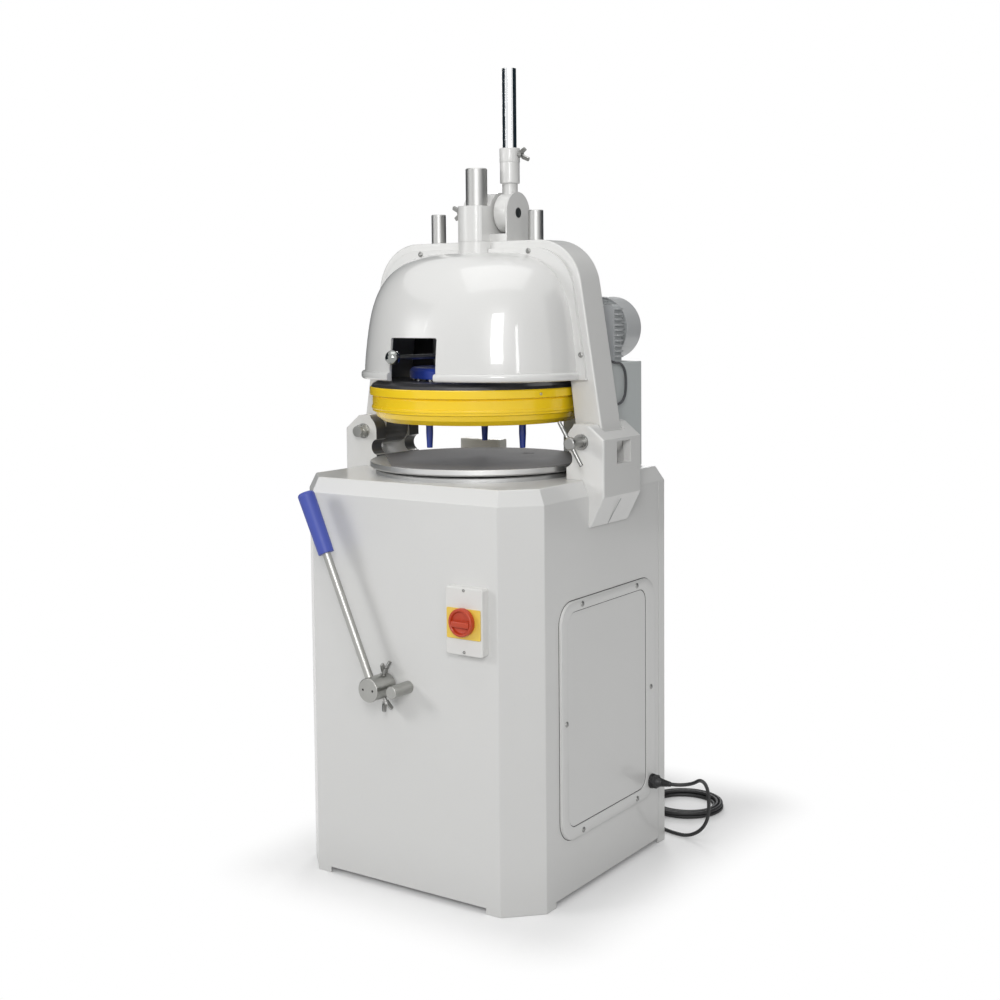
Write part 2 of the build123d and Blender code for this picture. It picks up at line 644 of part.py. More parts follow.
def clamp_screw():
    """Clamp spindle through the right eye, with collar and boss in front."""
    front = CHEEK_FRONT[0] - FACE_GAP
    spindle = rod_y(EYE_X, EYE_Z, CLAMP_R, front - CLAMP_BOSS_L, CHEEK_REAR[1] + 8)
    collar = rod_y(EYE_X, EYE_Z, CLAMP_COLLAR_R, front - 6, front)
    boss = rod_y(EYE_X, EYE_Z, CLAMP_BOSS_R, front - CLAMP_BOSS_L, front - 6)
    head = rod_y(EYE_X, EYE_Z, CLAMP_BOSS_R + 2, front - CLAMP_BOSS_L - 14, front - CLAMP_BOSS_L)
    head = fillet(head.edges().filter_by(GeomType.CIRCLE), 3)
    return spindle + collar + boss + head - tbar_at(TBAR_R)


def tbar_at(radius):
    """Cross bar through the clamp's head."""
    middle = CHEEK_FRONT[0] - FACE_GAP - CLAMP_BOSS_L - 7
    bar = Cylinder(radius, TBAR_L)
    return Pos(EYE_X, middle, EYE_Z) * Rot(0, 90 - TBAR_ANGLE, 0) * bar


def tbar():
    bar = tbar_at(TBAR_R)
    return fillet(bar.edges().filter_by(GeomType.CIRCLE), TBAR_R / 2)


def arch_outer(inset):
    """Half-round arch outline in X and Z, drawn in by an inset."""
    top = ARCH_TOP - inset
    sx, sz = ARCH_SHOULDER
    fx, fz = ARCH_FOOT
    slope = (fx - sx) / (fz - sz)
    crown_x = fx - inset + slope * (top - fz)
    points = [(-fx + inset, fz), (-crown_x, top), (crown_x, top), (fx - inset, fz)]
    radius = ARCH_SHOULDER_R - inset / 2
    return rounded(points, ((1, radius), (2, radius)))


def arch_inner(grow):
    """Opening between the legs, made larger by a growth."""
    lx, lz = ARCH_LEG_IN
    slope = (EYE_X + LEG_IN_TOP - lx) / (ARCH_BEAM_Z - lz)
    low = EYE_Z - 2 * LEG_EYE_R
    top = ARCH_BEAM_Z + grow
    foot_x = lx + slope * (low - lz) + grow
    top_x = lx + slope * (top - lz) + grow
    points = [(-foot_x, low), (-top_x, top), (top_x, top), (foot_x, low)]
    return rounded(points, ((1, ARCH_INNER_R), (2, ARCH_INNER_R)))


def arch():
    """Cast arch: two legs with eyes and a beam, hollow behind, with bosses for the ram and rods."""
    body = along_y(arch_outer(0) - arch_inner(0), *ARCH_Y)
    rims = body.faces().filter_by(Axis.Y).edges()
    upper = rims.filter_by(lambda edge: edge.bounding_box().max.Z > ARCH_FOOT[1] + 1)
    body = fillet(upper, CASTING_EDGE_R)
    face = Sketch()
    for side in (-1, 1):
        face += Pos(side * EYE_X, EYE_Z) * Circle(LEG_EYE_R)
        face += make_face(Polyline((side * ARCH_FOOT[0], ARCH_FOOT[1]),
                                   (side * (EYE_X + LEG_EYE_R), EYE_Z),
                                   (side * (EYE_X - LEG_EYE_R), EYE_Z),
                                   (side * ARCH_LEG_IN[0], ARCH_LEG_IN[1]),
                                   (side * ARCH_LEG_IN[0], ARCH_FOOT[1] + 10),
                                   (side * ARCH_FOOT[0], ARCH_FOOT[1] + 1), close=True))
    body += along_y(face, *ARCH_Y)
    hollow = arch_outer(ARCH_WALL) - arch_inner(ARCH_WALL)
    keep = Pos(0, EYE_Z + 2 * LEG_EYE_R - EYE_X) * Rectangle(4 * EYE_X, 2 * EYE_X)
    body -= along_y(hollow - keep, ARCH_Y[0] + ARCH_WALL, ARCH_Y[1] + 1)
    beam = (ARCH_BEAM_Z, ARCH_TOP)
    boss = rod_z(0, 0, BOSS_R, *beam) + box((-BOSS_R, BOSS_R), (0, ARCH_Y[1] - ARCH_WALL), beam)
    body += boss
    for side in (-1, 1):
        body += rod_z(side * ROD_X, ROD_Y, ROD_BOSS_R, *beam)
    for side in (-1, 1):
        body -= rod_z(side * ROD_X, ROD_Y, ROD_R + RUN_FIT, beam[0] - 1, beam[1] + 1)
    body -= rod_z(0, 0, RAM_R + RUN_FIT, beam[0] - 1, beam[1] + 1)
    body -= rod_y(-EYE_X, EYE_Z, PIVOT_R + RUN_FIT, ARCH_Y[0] - 1, ARCH_Y[1] + 1)
    slot = CLAMP_R + 2 * SIDE_PLAY
    body -= rod_y(EYE_X, EYE_Z, slot, ARCH_Y[0] - 1, ARCH_Y[1] + 1)
    return body - box((EYE_X - slot, EYE_X + slot), (ARCH_Y[0] - 1, ARCH_Y[1] + 1),
                      (EYE_Z - 2 * LEG_EYE_R, EYE_Z))


def press_tower():
    """Gear housing on the beam: a round front about the ram and a rounded back about the pinion."""
    z0 = ARCH_TOP
    body = rod_z(0, 0, BOSS_R, z0, HOUSING_TOP)
    body += box((-BOSS_R, BOSS_R), (0, LEVER_Y + HOUSING_R), (z0, HOUSING_TOP))
    back = (LEVER_Y - HOUSING_R, LEVER_Y + HOUSING_R)
    hump = box((-BOSS_R, HOUSING_FLAT_X), back, (z0, LEVER_Z))
    hump += rod_x(LEVER_Y, LEVER_Z, HOUSING_R, -BOSS_R, HOUSING_FLAT_X)
    body += hump
    body -= box((HOUSING_FLAT_X, 2 * BOSS_R), (-2 * BOSS_R, 4 * HOUSING_R), (z0, LEVER_Z + 2 * HOUSING_R))
    outer = LEVER_X + LEVER_HUB_T / 2 + SIDE_PLAY
    plate = box((outer, outer + CHEEK_PLATE_T), back, (z0, LEVER_Z))
    plate += rod_x(LEVER_Y, LEVER_Z, HOUSING_R, outer, outer + CHEEK_PLATE_T)
    body += plate
    body += box((HOUSING_FLAT_X, outer), back, (z0, LEVER_Z - HOUSING_R - SIDE_PLAY))
    room = RACK_MODULE + SIDE_PLAY
    body -= rod_x(LEVER_Y, LEVER_Z, PINION_R + room, -PINION_W / 2 - SIDE_PLAY, PINION_W / 2 + SIDE_PLAY)
    body -= rod_x(LEVER_Y, LEVER_Z, PINION_SHAFT_R + RUN_FIT, -BOSS_R - 1, outer + CHEEK_PLATE_T + 1)
    body -= rod_x(*TOWER_SCREW, WING_STEM_R + RUN_FIT, -BOSS_R - 1, -BOSS_R + SCREW_IN + SIDE_PLAY)
    return body - rod_z(0, 0, RAM_R + RUN_FIT, z0 - 1, LEVER_Z + 2 * HOUSING_R)


def pinion():
    """Pinion and its shaft, turned by the press lever."""
    wheel = Rot(0, 90, 0) * Rot(0, 0, -90) * gear(RACK_MODULE, PINION_TEETH, PINION_W)
    wheel = Pos(0, LEVER_Y, LEVER_Z) * wheel
    end = LEVER_X + LEVER_HUB_T / 2 + SIDE_PLAY + CHEEK_PLATE_T
    return wheel + rod_x(LEVER_Y, LEVER_Z, PINION_SHAFT_R, -BOSS_R, end)


def lever_hub():
    """Hub, neck and socket of the press lever, upright at rest."""
    half = LEVER_HUB_T / 2
    hub = rod_x(LEVER_Y, LEVER_Z, HOUSING_R - 2, LEVER_X - half, LEVER_X + half)
    hub = fillet(hub.edges().filter_by(GeomType.CIRCLE), CASTING_EDGE_R)
    neck = rod_z(LEVER_X, LEVER_Y, NECK_R, LEVER_Z + HOUSING_R / 2, LEVER_Z + NECK_TOP)
    socket = rod_z(LEVER_X, LEVER_Y, SOCKET_R, LEVER_Z + NECK_TOP, LEVER_Z + SOCKET_END)
    socket = fillet(socket.edges().filter_by(GeomType.CIRCLE), 2)
    body = hub + neck + socket
    body -= rod_z(LEVER_X, LEVER_Y, TUBE_R, LEVER_Z + TUBE_IN, LEVER_Z + SOCKET_END + 1)
    body -= rod_x(LEVER_Y, LEVER_Z, PINION_SHAFT_R, LEVER_X - LEVER_HUB_T, LEVER_X + LEVER_HUB_T)
    hole = WING_STEM_R + RUN_FIT
    return body - rod_x(LEVER_Y, LEVER_Z + SOCKET_END - 14, hole, LEVER_X, LEVER_X + 2 * SOCKET_R)


def lever_tube():
    tube = rod_z(LEVER_X, LEVER_Y, TUBE_R, LEVER_Z + TUBE_IN, LEVER_Z + TUBE_END)
    return tube - rod_z(LEVER_X, LEVER_Y, TUBE_R - TUBE_WALL, LEVER_Z + TUBE_IN + 4, LEVER_Z + TUBE_END + 1)


def socket_screw():
    """Wing screw that holds the lever tube in its socket."""
    start = LEVER_X + TUBE_R + FACE_GAP
    return Pos(start, LEVER_Y, LEVER_Z + SOCKET_END - 14) * Rot(35, 0, 0) * Rot(0, 90, 0) * wing_screw(17)


def tower_screw():
    """Wing screw in the left side of the gear housing."""
    place = Pos(-BOSS_R + SCREW_IN, *TOWER_SCREW)
    return place * Rot(20, 0, 0) * Rot(0, -90, 0) * wing_screw(SCREW_IN + 11)


def ram():
    """Press ram with a rack cut in its back."""
    body = rod_z(0, 0, RAM_R, RING_TOP, RAM_TOP)
    body = chamfer(body.faces().sort_by(Axis.Z)[-1].edges(), 2)
    for cutter in rack_cutters(RACK_MODULE, STROKE, 4 * RAM_R, 0.75 * PINION_R):
        body -= Pos(0, LEVER_Y - PINION_R, LEVER_Z) * Rot(0, 0, 90) * cutter
    return body


def guide_rods():
    rods = []
    for side in (-1, 1):
        rod = rod_z(side * ROD_X, ROD_Y, ROD_R, CARRIER_TOP, ROD_TOP)
        rods.append(chamfer(rod.faces().sort_by(Axis.Z)[-1].edges(), 1.5))
    return Compound(children=rods)


def cell_rings():
    """Radii between which each ring of equal cells lies."""
    total = sum(CELL_COUNTS)
    radii = [0.0]
    used = 0
    for count in CELL_COUNTS:
        used += count
        radii.append(RING_BORE_R * math.sqrt(used / total))
    return radii


def knife_face(thickness):
    """Plan of the knife grid: rings between the cells and a wall between neighbours."""
    radii = cell_rings()
    grid = Sketch()
    for radius in radii[1:-1]:
        grid += Circle(radius + thickness / 2) - Circle(radius - thickness / 2)
    for level, count in enumerate(CELL_COUNTS):
        r0, r1 = radii[level], radii[level + 1]
        for number in range(count):
            wall = Pos((r0 + r1) / 2, 0) * Rectangle(r1 - r0, thickness)
            grid += Rot(0, 0, POST_ANGLE + (number + 0.5) * 360 / count) * wall
    return grid & Circle(RING_BORE_R)


def stem_places():
    """One point in every cell near its inner wall, turned aside where a guide rod stands."""
    radii = cell_rings()
    room = ROD_R + STEM_R + 2 * SIDE_PLAY
    places = []
    for level, count in enumerate(CELL_COUNTS):
        r = radii[level] + STEM_INSET if level else 0.55 * radii[1]
        for number in range(count):
            for shift in (0, 7.5, -7.5):
                angle = math.radians(POST_ANGLE + shift + number * 360 / count)
                x, y = r * math.cos(angle), r * math.sin(angle)
                if min(math.hypot(x - ROD_X, y - ROD_Y), math.hypot(x + ROD_X, y - ROD_Y)) > room:
                    break
            places.append((x, y))
    return places


def post_places():
    """Three points near the outer wall of the middle cells."""
    r = cell_rings()[2] - POST_INSET
    places = []
    for number in range(3):
        angle = math.radians(POST_ANGLE + number * 120)
        places.append((r * math.cos(angle), r * math.sin(angle)))
    return places


def knives():
    return along_z(knife_face(KNIFE_T), RING_BOTTOM + KNIFE_RISE, RING_TOP)


def press_plates():
    """A press plate in every knife cell, each on its own stem below the spider."""
    face = Circle(RING_BORE_R - PLATE_GAP) - knife_face(KNIFE_T + 2 * PLATE_GAP)
    for x, y in post_places():
        face -= Pos(x, y) * Circle(POST_R + STEM_GAP)
    plates = along_z(face, PLATE_Z, PLATE_Z + PLATE_T)
    return plates + [rod_z(x, y, STEM_R, PLATE_Z + PLATE_T, SPIDER_Z) for x, y in stem_places()]


def carrier():
    """Round plate on the ram's foot that carries the ring, the knives and the guide rods."""
    disc = turned(((0, RING_TOP), (CARRIER_R, RING_TOP), (CARRIER_R - 4, RING_TOP + 6),
                   (CARRIER_R - 16, CARRIER_TOP), (0, CARRIER_TOP)))
    disc -= rod_z(0, 0, RAM_R, RING_TOP - 1, CARRIER_TOP + 1)
    for x, y in stem_places():
        disc -= rod_z(x, y, STEM_R + STEM_GAP, RING_TOP - 1, CARRIER_TOP + 1)
    for x, y in post_places():
        disc -= rod_z(x, y, POST_R + STEM_GAP, RING_TOP - 1, CARRIER_TOP + 1)
    return disc


def ring():
    """Stepped dough ring with a drawn-in lower edge."""
    z1, z2 = RING_TOP - RING_BAND_1, RING_TOP - RING_BAND_2
    bore = RING_BORE_R + RUN_FIT
    low, middle = RING_BORE_R + RING_LOW_WALL, RING_BORE_R + RING_MID_WALL
    foot = RING_BORE_R + RING_FOOT_WALL
    body = turned(((bore, RING_BOTTOM), (foot, RING_BOTTOM), (low - 4, RING_BOTTOM + 10), (low, z2 - 2),
                   (middle, z2), (middle, z1 - 3), (middle - 2, z1),
                   (RING_TOP_R, z1 + 2), (RING_TOP_R, RING_TOP - 2), (RING_TOP_R - 2, RING_TOP),
                   (bore, RING_TOP)))
    return body


def spider():
    """Fixed spider under the beam: a sleeve about the ram, a disc and three distance posts."""
    bore = RAM_R + 3 * FACE_GAP
    rim = cell_rings()[2] + SPIDER_MARGIN
    body = turned(((bore, SPIDER_Z), (rim, SPIDER_Z), (rim, SPIDER_TOP - 6),
                   (rim - 6, SPIDER_TOP), (SPIDER_HUB_R + 6, SPIDER_TOP), (SPIDER_HUB_R, HUB_TOP),
                   (SLEEVE_R, HUB_TOP), (SLEEVE_R, ARCH_BEAM_Z), (bore, ARCH_BEAM_Z)))
    for side in (-1, 1):
        body -= rod_z(side * ROD_X, ROD_Y, ROD_R + 2, SPIDER_Z - 1, SPIDER_TOP + 1)
    post = turned(((0, POST_BOTTOM), (POST_TIP_R, POST_BOTTOM), (POST_R, POST_BOTTOM + POST_TAPER),
                   (POST_R, SPIDER_Z), (0, SPIDER_Z)))
    for x, y in post_places():
        body += Pos(x, y, 0) * post
    return body


def lock_lever():
    """Ring on the spider's sleeve with a rod out through the cover's window."""
    z0 = HUB_TOP + FACE_GAP
    collar = rod_z(0, 0, LOCK_RING_R, z0, z0 + LOCK_RING_T)
    collar -= rod_z(0, 0, SLEEVE_R + RUN_FIT, z0 - 1, z0 + LOCK_RING_T + 1)
    bar = rod_x(0, z0 + LOCK_RING_T / 2, LOCK_ROD_R, LOCK_RING_R - 6, BALL_REACH)
    return collar + Rot(0, 0, LOCK_ANGLE) * bar


def ball_knob():
    z = HUB_TOP + FACE_GAP + LOCK_RING_T / 2
    ball = Pos(BALL_REACH, 0, z) * Sphere(BALL_R)
    ball -= rod_x(0, z, LOCK_ROD_R, BALL_REACH - 2 * BALL_R, BALL_REACH)
    return Rot(0, 0, LOCK_ANGLE) * ball


def dome_face(z, a, b, back):
    """Half ellipse in front of the flange plane, carried straight back to a given depth."""
    y0 = ARCH_Y[0] - FLANGE_T
    arc = EllipticalCenterArc((0, y0), a, b, start_angle=180, arc_size=180)
    rest = Polyline((a, y0), (a, back), (-a, back), (-a, y0))
    return Pos(0, 0, z) * make_face([arc, rest])


def cover_sections(wall):
    """Height, half width and depth of each section, drawn in by a wall above the open foot."""
    sections = []
    for drop, side, front in COVER_SECTIONS:
        rise = ARCH_TOP - drop - (wall if sections else 0)
        sections.append((rise, COVER_A - side - wall, COVER_B - front - wall))
    return sections


def head_cover():
    """Domed cover with a flange on the arch, a rolled lip below and a window for the lock lever."""
    y0 = ARCH_Y[0] - FLANGE_T
    outer = loft([dome_face(z, a, b, y0 + 1) for z, a, b in cover_sections(0)])
    inner = loft([dome_face(z, a, b, ARCH_Y[0] + 1) for z, a, b in cover_sections(COVER_T)])
    lip = extrude(dome_face(COVER_BOTTOM, COVER_A + LIP_OUT, COVER_B + LIP_OUT, y0 + 1), amount=LIP_H)
    rims = lip.edges().filter_by(Plane.XY).filter_by(GeomType.ELLIPSE)
    lip = fillet(rims, LIP_H / 2 - 2)
    face = arch_outer(FLANGE_INSET) - Pos(0, COVER_BOTTOM - EYE_X) * Rectangle(4 * EYE_X, 2 * EYE_X)
    cover = along_y(face, y0, ARCH_Y[0]) + outer + lip
    cover -= inner
    below = box((-2 * EYE_X, 2 * EYE_X), (-2 * EYE_X, 2 * EYE_X), (0, COVER_BOTTOM))
    cover -= below
    cover -= rod_z(0, 0, BOSS_R + SIDE_PLAY, ARCH_BEAM_Z, ARCH_TOP + 1)
    window = (COVER_BOTTOM - 10, COVER_BOTTOM + WINDOW_H)
    opening = rounded(((WINDOW_X[0], window[0]), (WINDOW_X[1], window[0]),
                       (WINDOW_X[1], window[1]), (WINDOW_X[0], window[1])), ((2, 5), (3, 5)))
    return cover - along_y(opening, -2 * EYE_X, -EYE_X / 3)


def cover_screws():
    y = ARCH_Y[0] - FLANGE_T
    heads = []
    for side in (-1, 1):
        for x, drop in COVER_SCREWS:
            head = rod_y(side * x, ARCH_TOP - drop, SCREW_HEAD_R, y - SCREW_HEAD_T, y)
            heads.append(fillet(head.faces().sort_by(Axis.Y)[0].edges(), 2))
    return Compound(children=heads)


def front_hub():
    """Hub of the front lever with two key holes in its face and a bore for the rod."""
    hub = rod_y(HUB_X, HUB_Z, HUB_R, HUB_FRONT, HUB_BACK)
    hub = fillet(hub.edges().filter_by(GeomType.CIRCLE), 2)
    for side in (-1, 1):
        hub -= rod_y(HUB_X + side * HUB_R / 2, HUB_Z, 2.5, HUB_FRONT - 1, HUB_FRONT + 8)
    hub -= rod_y(HUB_X, HUB_Z, HUB_SHAFT_R, HUB_BACK - SHAFT_IN, HUB_BACK + 1)
    hub -= lever_place(LEVER_LEAN) * rod_z(0, 0, LEVER_ROD_R, ROD_IN, 2 * HUB_R)
    for lean, depth in HUB_SCREWS:
        hub -= screw_place(lean, depth) * rod_z(0, 0, WING_STEM_R + RUN_FIT, 0, 2 * HUB_R)
    return hub


def lever_place(lean):
    """Place on the front lever's axis with Z along a ray that leans to the left."""
    return Pos(HUB_X, LEVER_ROD_Y, HUB_Z) * Rot(0, -lean, 0)


def screw_place(lean, depth):
    return Pos(HUB_X, HUB_BACK - depth, HUB_Z) * Rot(0, -lean, 0) * Pos(0, 0, HUB_R - SCREW_IN)


def front_rod():
    return lever_place(LEVER_LEAN) * rod_z(0, 0, LEVER_ROD_R, ROD_IN, GRIP_END - GRIP_TOP_R)


def front_grip():
    """Slightly tapered hand grip with rounded ends."""
    grip = turned(((LEVER_ROD_R, GRIP_START), (GRIP_LOW_R, GRIP_START), (GRIP_TOP_R, GRIP_END),
                   (0, GRIP_END), (0, GRIP_END - GRIP_TOP_R), (LEVER_ROD_R, GRIP_END - GRIP_TOP_R)))
    rims = grip.edges().filter_by(GeomType.CIRCLE)
    grip = fillet(rims.sort_by(Axis.Z)[-1:], 7)
    return lever_place(LEVER_LEAN) * grip


def hub_screw(number):
    lean, depth = HUB_SCREWS[number]
    return screw_place(lean, depth) * Rot(0, 0, 90) * wing_screw(HUB_SCREW_L)


def lift_pinion():
    """Lever shaft into the cabinet with the pinion that lifts the column."""
    wheel = Pos(HUB_X, 0, HUB_Z) * Rot(90, 0, 0) * gear(LIFT_MODULE, LIFT_TEETH, LIFT_W)
    return wheel + rod_y(HUB_X, HUB_Z, HUB_SHAFT_R, HUB_BACK - SHAFT_IN, SHAFT_END)


def lever_bush():
    """Bush for the lever shaft in the cabinet's front sheet."""
    body = rod_y(HUB_X, HUB_Z, HUB_SHAFT_R + 5, CAB_FRONT, CAB_FRONT + 24)
    body += rod_y(HUB_X, HUB_Z, HUB_SHAFT_R + 14, CAB_FRONT + CAB_WALL, CAB_FRONT + 8)
    return body - rod_y(HUB_X, HUB_Z, HUB_SHAFT_R + RUN_FIT, CAB_FRONT - 1, CAB_FRONT + 25)


def stop_stub():
    """Stop peg beside the front lever's hub."""
    peg = rod_y(STOP_X, STOP_Z, STOP_R, CAB_FRONT - STOP_LENGTH, CAB_FRONT)
    return fillet(peg.faces().sort_by(Axis.Y)[0].edges(), 2)


def lift_column():
    """Column that carries the crank, with a rack for the lift pinion."""
    body = rod_z(0, 0, COLUMN_R, HUB_Z - COLUMN_FOOT, COLUMN_TOP)
    for cutter in rack_cutters(LIFT_MODULE, LIFT, 4 * COLUMN_R, 1.1 * LIFT_R):
        body -= Pos(HUB_X + LIFT_R, 0, HUB_Z) * Rot(0, 180, 0) * cutter
    return body


def lift_guide():
    """Pedestal on the base plate that guides the column and holds the lever shaft's end."""
    z0 = BASE_PLATE_Z + BASE_PLATE_T
    body = rod_z(0, 0, GUIDE_R, z0, HUB_Z - GUIDE_DROP) + rod_z(0, 0, GUIDE_FOOT_R, z0, z0 + 12)
    body += box((HUB_X - 20, HUB_X + 20), (SHAFT_END - 14, SHAFT_END), (z0, HUB_Z))
    body += rod_y(HUB_X, HUB_Z, 20, SHAFT_END - 14, SHAFT_END)
    body -= rod_y(HUB_X, HUB_Z, HUB_SHAFT_R + RUN_FIT, SHAFT_END - 15, SHAFT_END + 1)
    return body - rod_z(0, 0, COLUMN_R + RUN_FIT, z0 + 12, HUB_Z)


def crank():
    """Crank shaft with its flange and the pin that carries the table off centre."""
    body = rod_z(0, 0, CRANK_SHAFT_R, COLUMN_TOP + FACE_GAP, FLANGE_TOP - CRANK_FLANGE_T)
    body += rod_z(0, 0, COLUMN_R, COLUMN_TOP + FACE_GAP, COLUMN_TOP + 12)
    body += rod_z(0, 0, CRANK_FLANGE_R, FLANGE_TOP - CRANK_FLANGE_T, FLANGE_TOP)
    return body + rod_z(CRANK_X, CRANK_Y, CRANK_PIN_R, FLANGE_TOP, FLANGE_TOP + CRANK_PIN_H)


def crank_pulley():
    """Large pulley whose bore lets the crank shaft slide through."""
    low, high = BELT_Z
    body = rod_z(0, 0, CRANK_PULLEY_R, low, high) + rod_z(0, 0, JOURNAL_R, low - PULLEY_HUB, JOURNAL_TOP)
    for number in range(5):
        angle = math.radians(72 * number)
        r = (CRANK_PULLEY_R + JOURNAL_R) / 2
        body -= rod_z(r * math.cos(angle), r * math.sin(angle), 14, low - 1, high + 1)
    return body - rod_z(0, 0, CRANK_SHAFT_R + RUN_FIT, low - PULLEY_HUB - 1, JOURNAL_TOP + 1)


def pulley_housing():
    """Bearing housing of the large pulley, hung below the cabinet's top."""
    top = CAB_TOP - CAB_WALL
    body = rod_z(0, 0, JOURNAL_R + 14, BELT_Z[1] + SIDE_PLAY, top)
    body += rod_z(0, 0, HOUSING_FLANGE_R, top - 10, top)
    return body - rod_z(0, 0, JOURNAL_R + RUN_FIT, BELT_Z[1], top + 1)


def drive_belt():
    return along_z(belt_line(FACE_GAP + BELT_T) - belt_line(FACE_GAP), *BELT_Z)


def drive_shaft():
    """Upright shaft with the small pulley at its foot."""
    shaft = rod_z(DRIVE_X, DRIVE_Y, DRIVE_R, BELT_Z[0] - DRIVE_END, MOTOR_Z - 2 * DRIVE_R)
    return shaft + rod_z(DRIVE_X, DRIVE_Y, DRIVE_PULLEY_R, *BELT_Z)


def shaft_bearing():
    """Flange bearing of the upright shaft below the cabinet's top."""
    top = CAB_TOP - CAB_WALL
    body = rod_z(DRIVE_X, DRIVE_Y, 3 * DRIVE_R, top - 8, top)
    body += rod_z(DRIVE_X, DRIVE_Y, 2 * DRIVE_R, top - 36, top)
    return body - rod_z(DRIVE_X, DRIVE_Y, DRIVE_R + RUN_FIT, top - 37, top + 1)


def stand_face(inset):
    """Plan of the stand: square at the back, with two slanted walls round the table."""
    first, second = [math.radians(angle) for angle in STAND_WALLS]
    corner = STAND_R / math.cos((second - first) / 2)
    turn = (first + second) / 2
    left, right = STAND_X
    points = [(left, CAB_BACK), (right, CAB_BACK),
              (right, (STAND_R - right * math.cos(first)) / math.sin(first)),
              (corner * math.cos(turn), corner * math.sin(turn)),
              (left, (STAND_R - left * math.cos(second)) / math.sin(second))]
    face = make_face(Polyline(*points, close=True))
    return offset(face, -inset, kind=Kind.INTERSECTION) if inset else face


def motor_stand():
    """Sheet column that carries the gear case and the motor, open below."""
    body = along_z(stand_face(0), CAB_TOP, STAND_TOP)
    body = fillet(body.edges() - body.edges().group_by(Axis.Z)[0], STAND_WALL)
    body -= along_z(stand_face(STAND_WALL), CAB_TOP - 1, STAND_TOP - STAND_WALL)
    body -= rod_z(DRIVE_X, DRIVE_Y, DRIVE_R + 2, STAND_TOP - 2 * STAND_WALL, STAND_TOP + 1)
    return body


def gear_case():
    """Closed case of the right-angle gear between the motor and the upright shaft."""
    foot_in, foot_h = GEAR_CASE_FOOT
    body = box(GEAR_CASE_X, GEAR_CASE_Y, (STAND_TOP + foot_h, MOTOR_Z + GEAR_CASE_RISE))
    body = fillet(body.edges().filter_by(Axis.Y), 12)
    body += box((DRIVE_X - foot_in, GEAR_CASE_X[1]), GEAR_CASE_Y, (STAND_TOP, STAND_TOP + 2 * foot_h))
    body -= rod_y(MOTOR_X, MOTOR_Z, MOTOR_SHAFT_R + RUN_FIT, GEAR_CASE_Y[0] + 8, GEAR_CASE_Y[1] + 1)
    return body - rod_z(DRIVE_X, DRIVE_Y, DRIVE_R + RUN_FIT, STAND_TOP - 1, MOTOR_Z - DRIVE_R)


def motor_body():
    """Finned motor with a front flange, an end shield and a foot on the stand."""
    end = MOTOR_Y + MOTOR_LENGTH
    body = rod_y(MOTOR_X, MOTOR_Z, MOTOR_R, MOTOR_Y, end)
    body += rod_y(MOTOR_X, MOTOR_Z, MOTOR_FIN_R - 2, MOTOR_Y, MOTOR_Y + MOTOR_FLANGE_T)
    body += rod_y(MOTOR_X, MOTOR_Z, COWL_R - COWL_WALL, end - 10, end)
    span = (MOTOR_Y + 2 * MOTOR_FLANGE_T, COWL_Y[0])
    fins = []
    for number in range(MOTOR_FINS):
        fin = box((MOTOR_R - 4, MOTOR_FIN_R), span, (-MOTOR_FIN_T / 2, MOTOR_FIN_T / 2))
        fins.append(Pos(MOTOR_X, 0, MOTOR_Z) * Rot(0, number * 360 / MOTOR_FINS, 0) * fin)
    body += fins
    body += box((MOTOR_X - 46, MOTOR_X + 46), (MOTOR_Y + 8, span[1]), (STAND_TOP, MOTOR_Z - MOTOR_R + 14))
    body += box((MOTOR_X - MOTOR_R - 30, MOTOR_X - 20), (MOTOR_Y + 12, span[1]), (MOTOR_Z - 22, MOTOR_Z + 22))
    return body - rod_y(MOTOR_X, MOTOR_Z, MOTOR_SHAFT_R + RUN_FIT, MOTOR_Y - 1, end + 1)


def fan_cowl():
    """Pressed cowl over the fan, with a slotted end."""
    y0, y1 = COWL_Y
    cowl = rod_y(MOTOR_X, MOTOR_Z, COWL_R, y0, y1)
    cowl = fillet(cowl.faces().sort_by(Axis.Y)[-1].edges(), COWL_CORNER_R)
    room = rod_y(MOTOR_X, MOTOR_Z, COWL_R - COWL_WALL, y0 - 1, y1 - COWL_WALL)
    cowl -= fillet(room.faces().sort_by(Axis.Y)[-1].edges(), COWL_CORNER_R - COWL_WALL)
    slots = []
    for number in range(16):
        slot = box((16, 46), (y1 - 2 * COWL_WALL, y1 + 1), (-2, 2))
        slots.append(Pos(MOTOR_X, 0, MOTOR_Z) * Rot(0, number * 22.5, 0) * slot)
    return cowl - slots


def motor_rotor():
    """Motor shaft with its fan."""
    end = COWL_Y[1] - 4 * COWL_WALL
    rotor = rod_y(MOTOR_X, MOTOR_Z, MOTOR_SHAFT_R, GEAR_CASE_Y[0] + 10, end)
    fan = (MOTOR_Y + MOTOR_LENGTH + 8, end - 4)
    rotor += rod_y(MOTOR_X, MOTOR_Z, 2 * MOTOR_SHAFT_R, *fan)
    blades = []
    for number in range(FAN_BLADES):
        blade = box((0, COWL_R - FAN_ROOM), fan, (-1.5, 1.5))
        blades.append(Pos(MOTOR_X, 0, MOTOR_Z) * Rot(0, number * 360 / FAN_BLADES, 0) * blade)
    return rotor + blades


def switch_block():
    """Moulded switch case behind the table."""
    x, y = [-CAB_HALF + side for side in BLOCK_SIDE], [CAB_BACK - back for back in BLOCK_BACK]
    body = box(x, y, (CAB_TOP, CAB_TOP + BLOCK_H))
    body = fillet(body.edges().filter_by(Axis.Z), 6)
    return fillet(body.faces().sort_by(Axis.Z)[-1].edges(), 3)


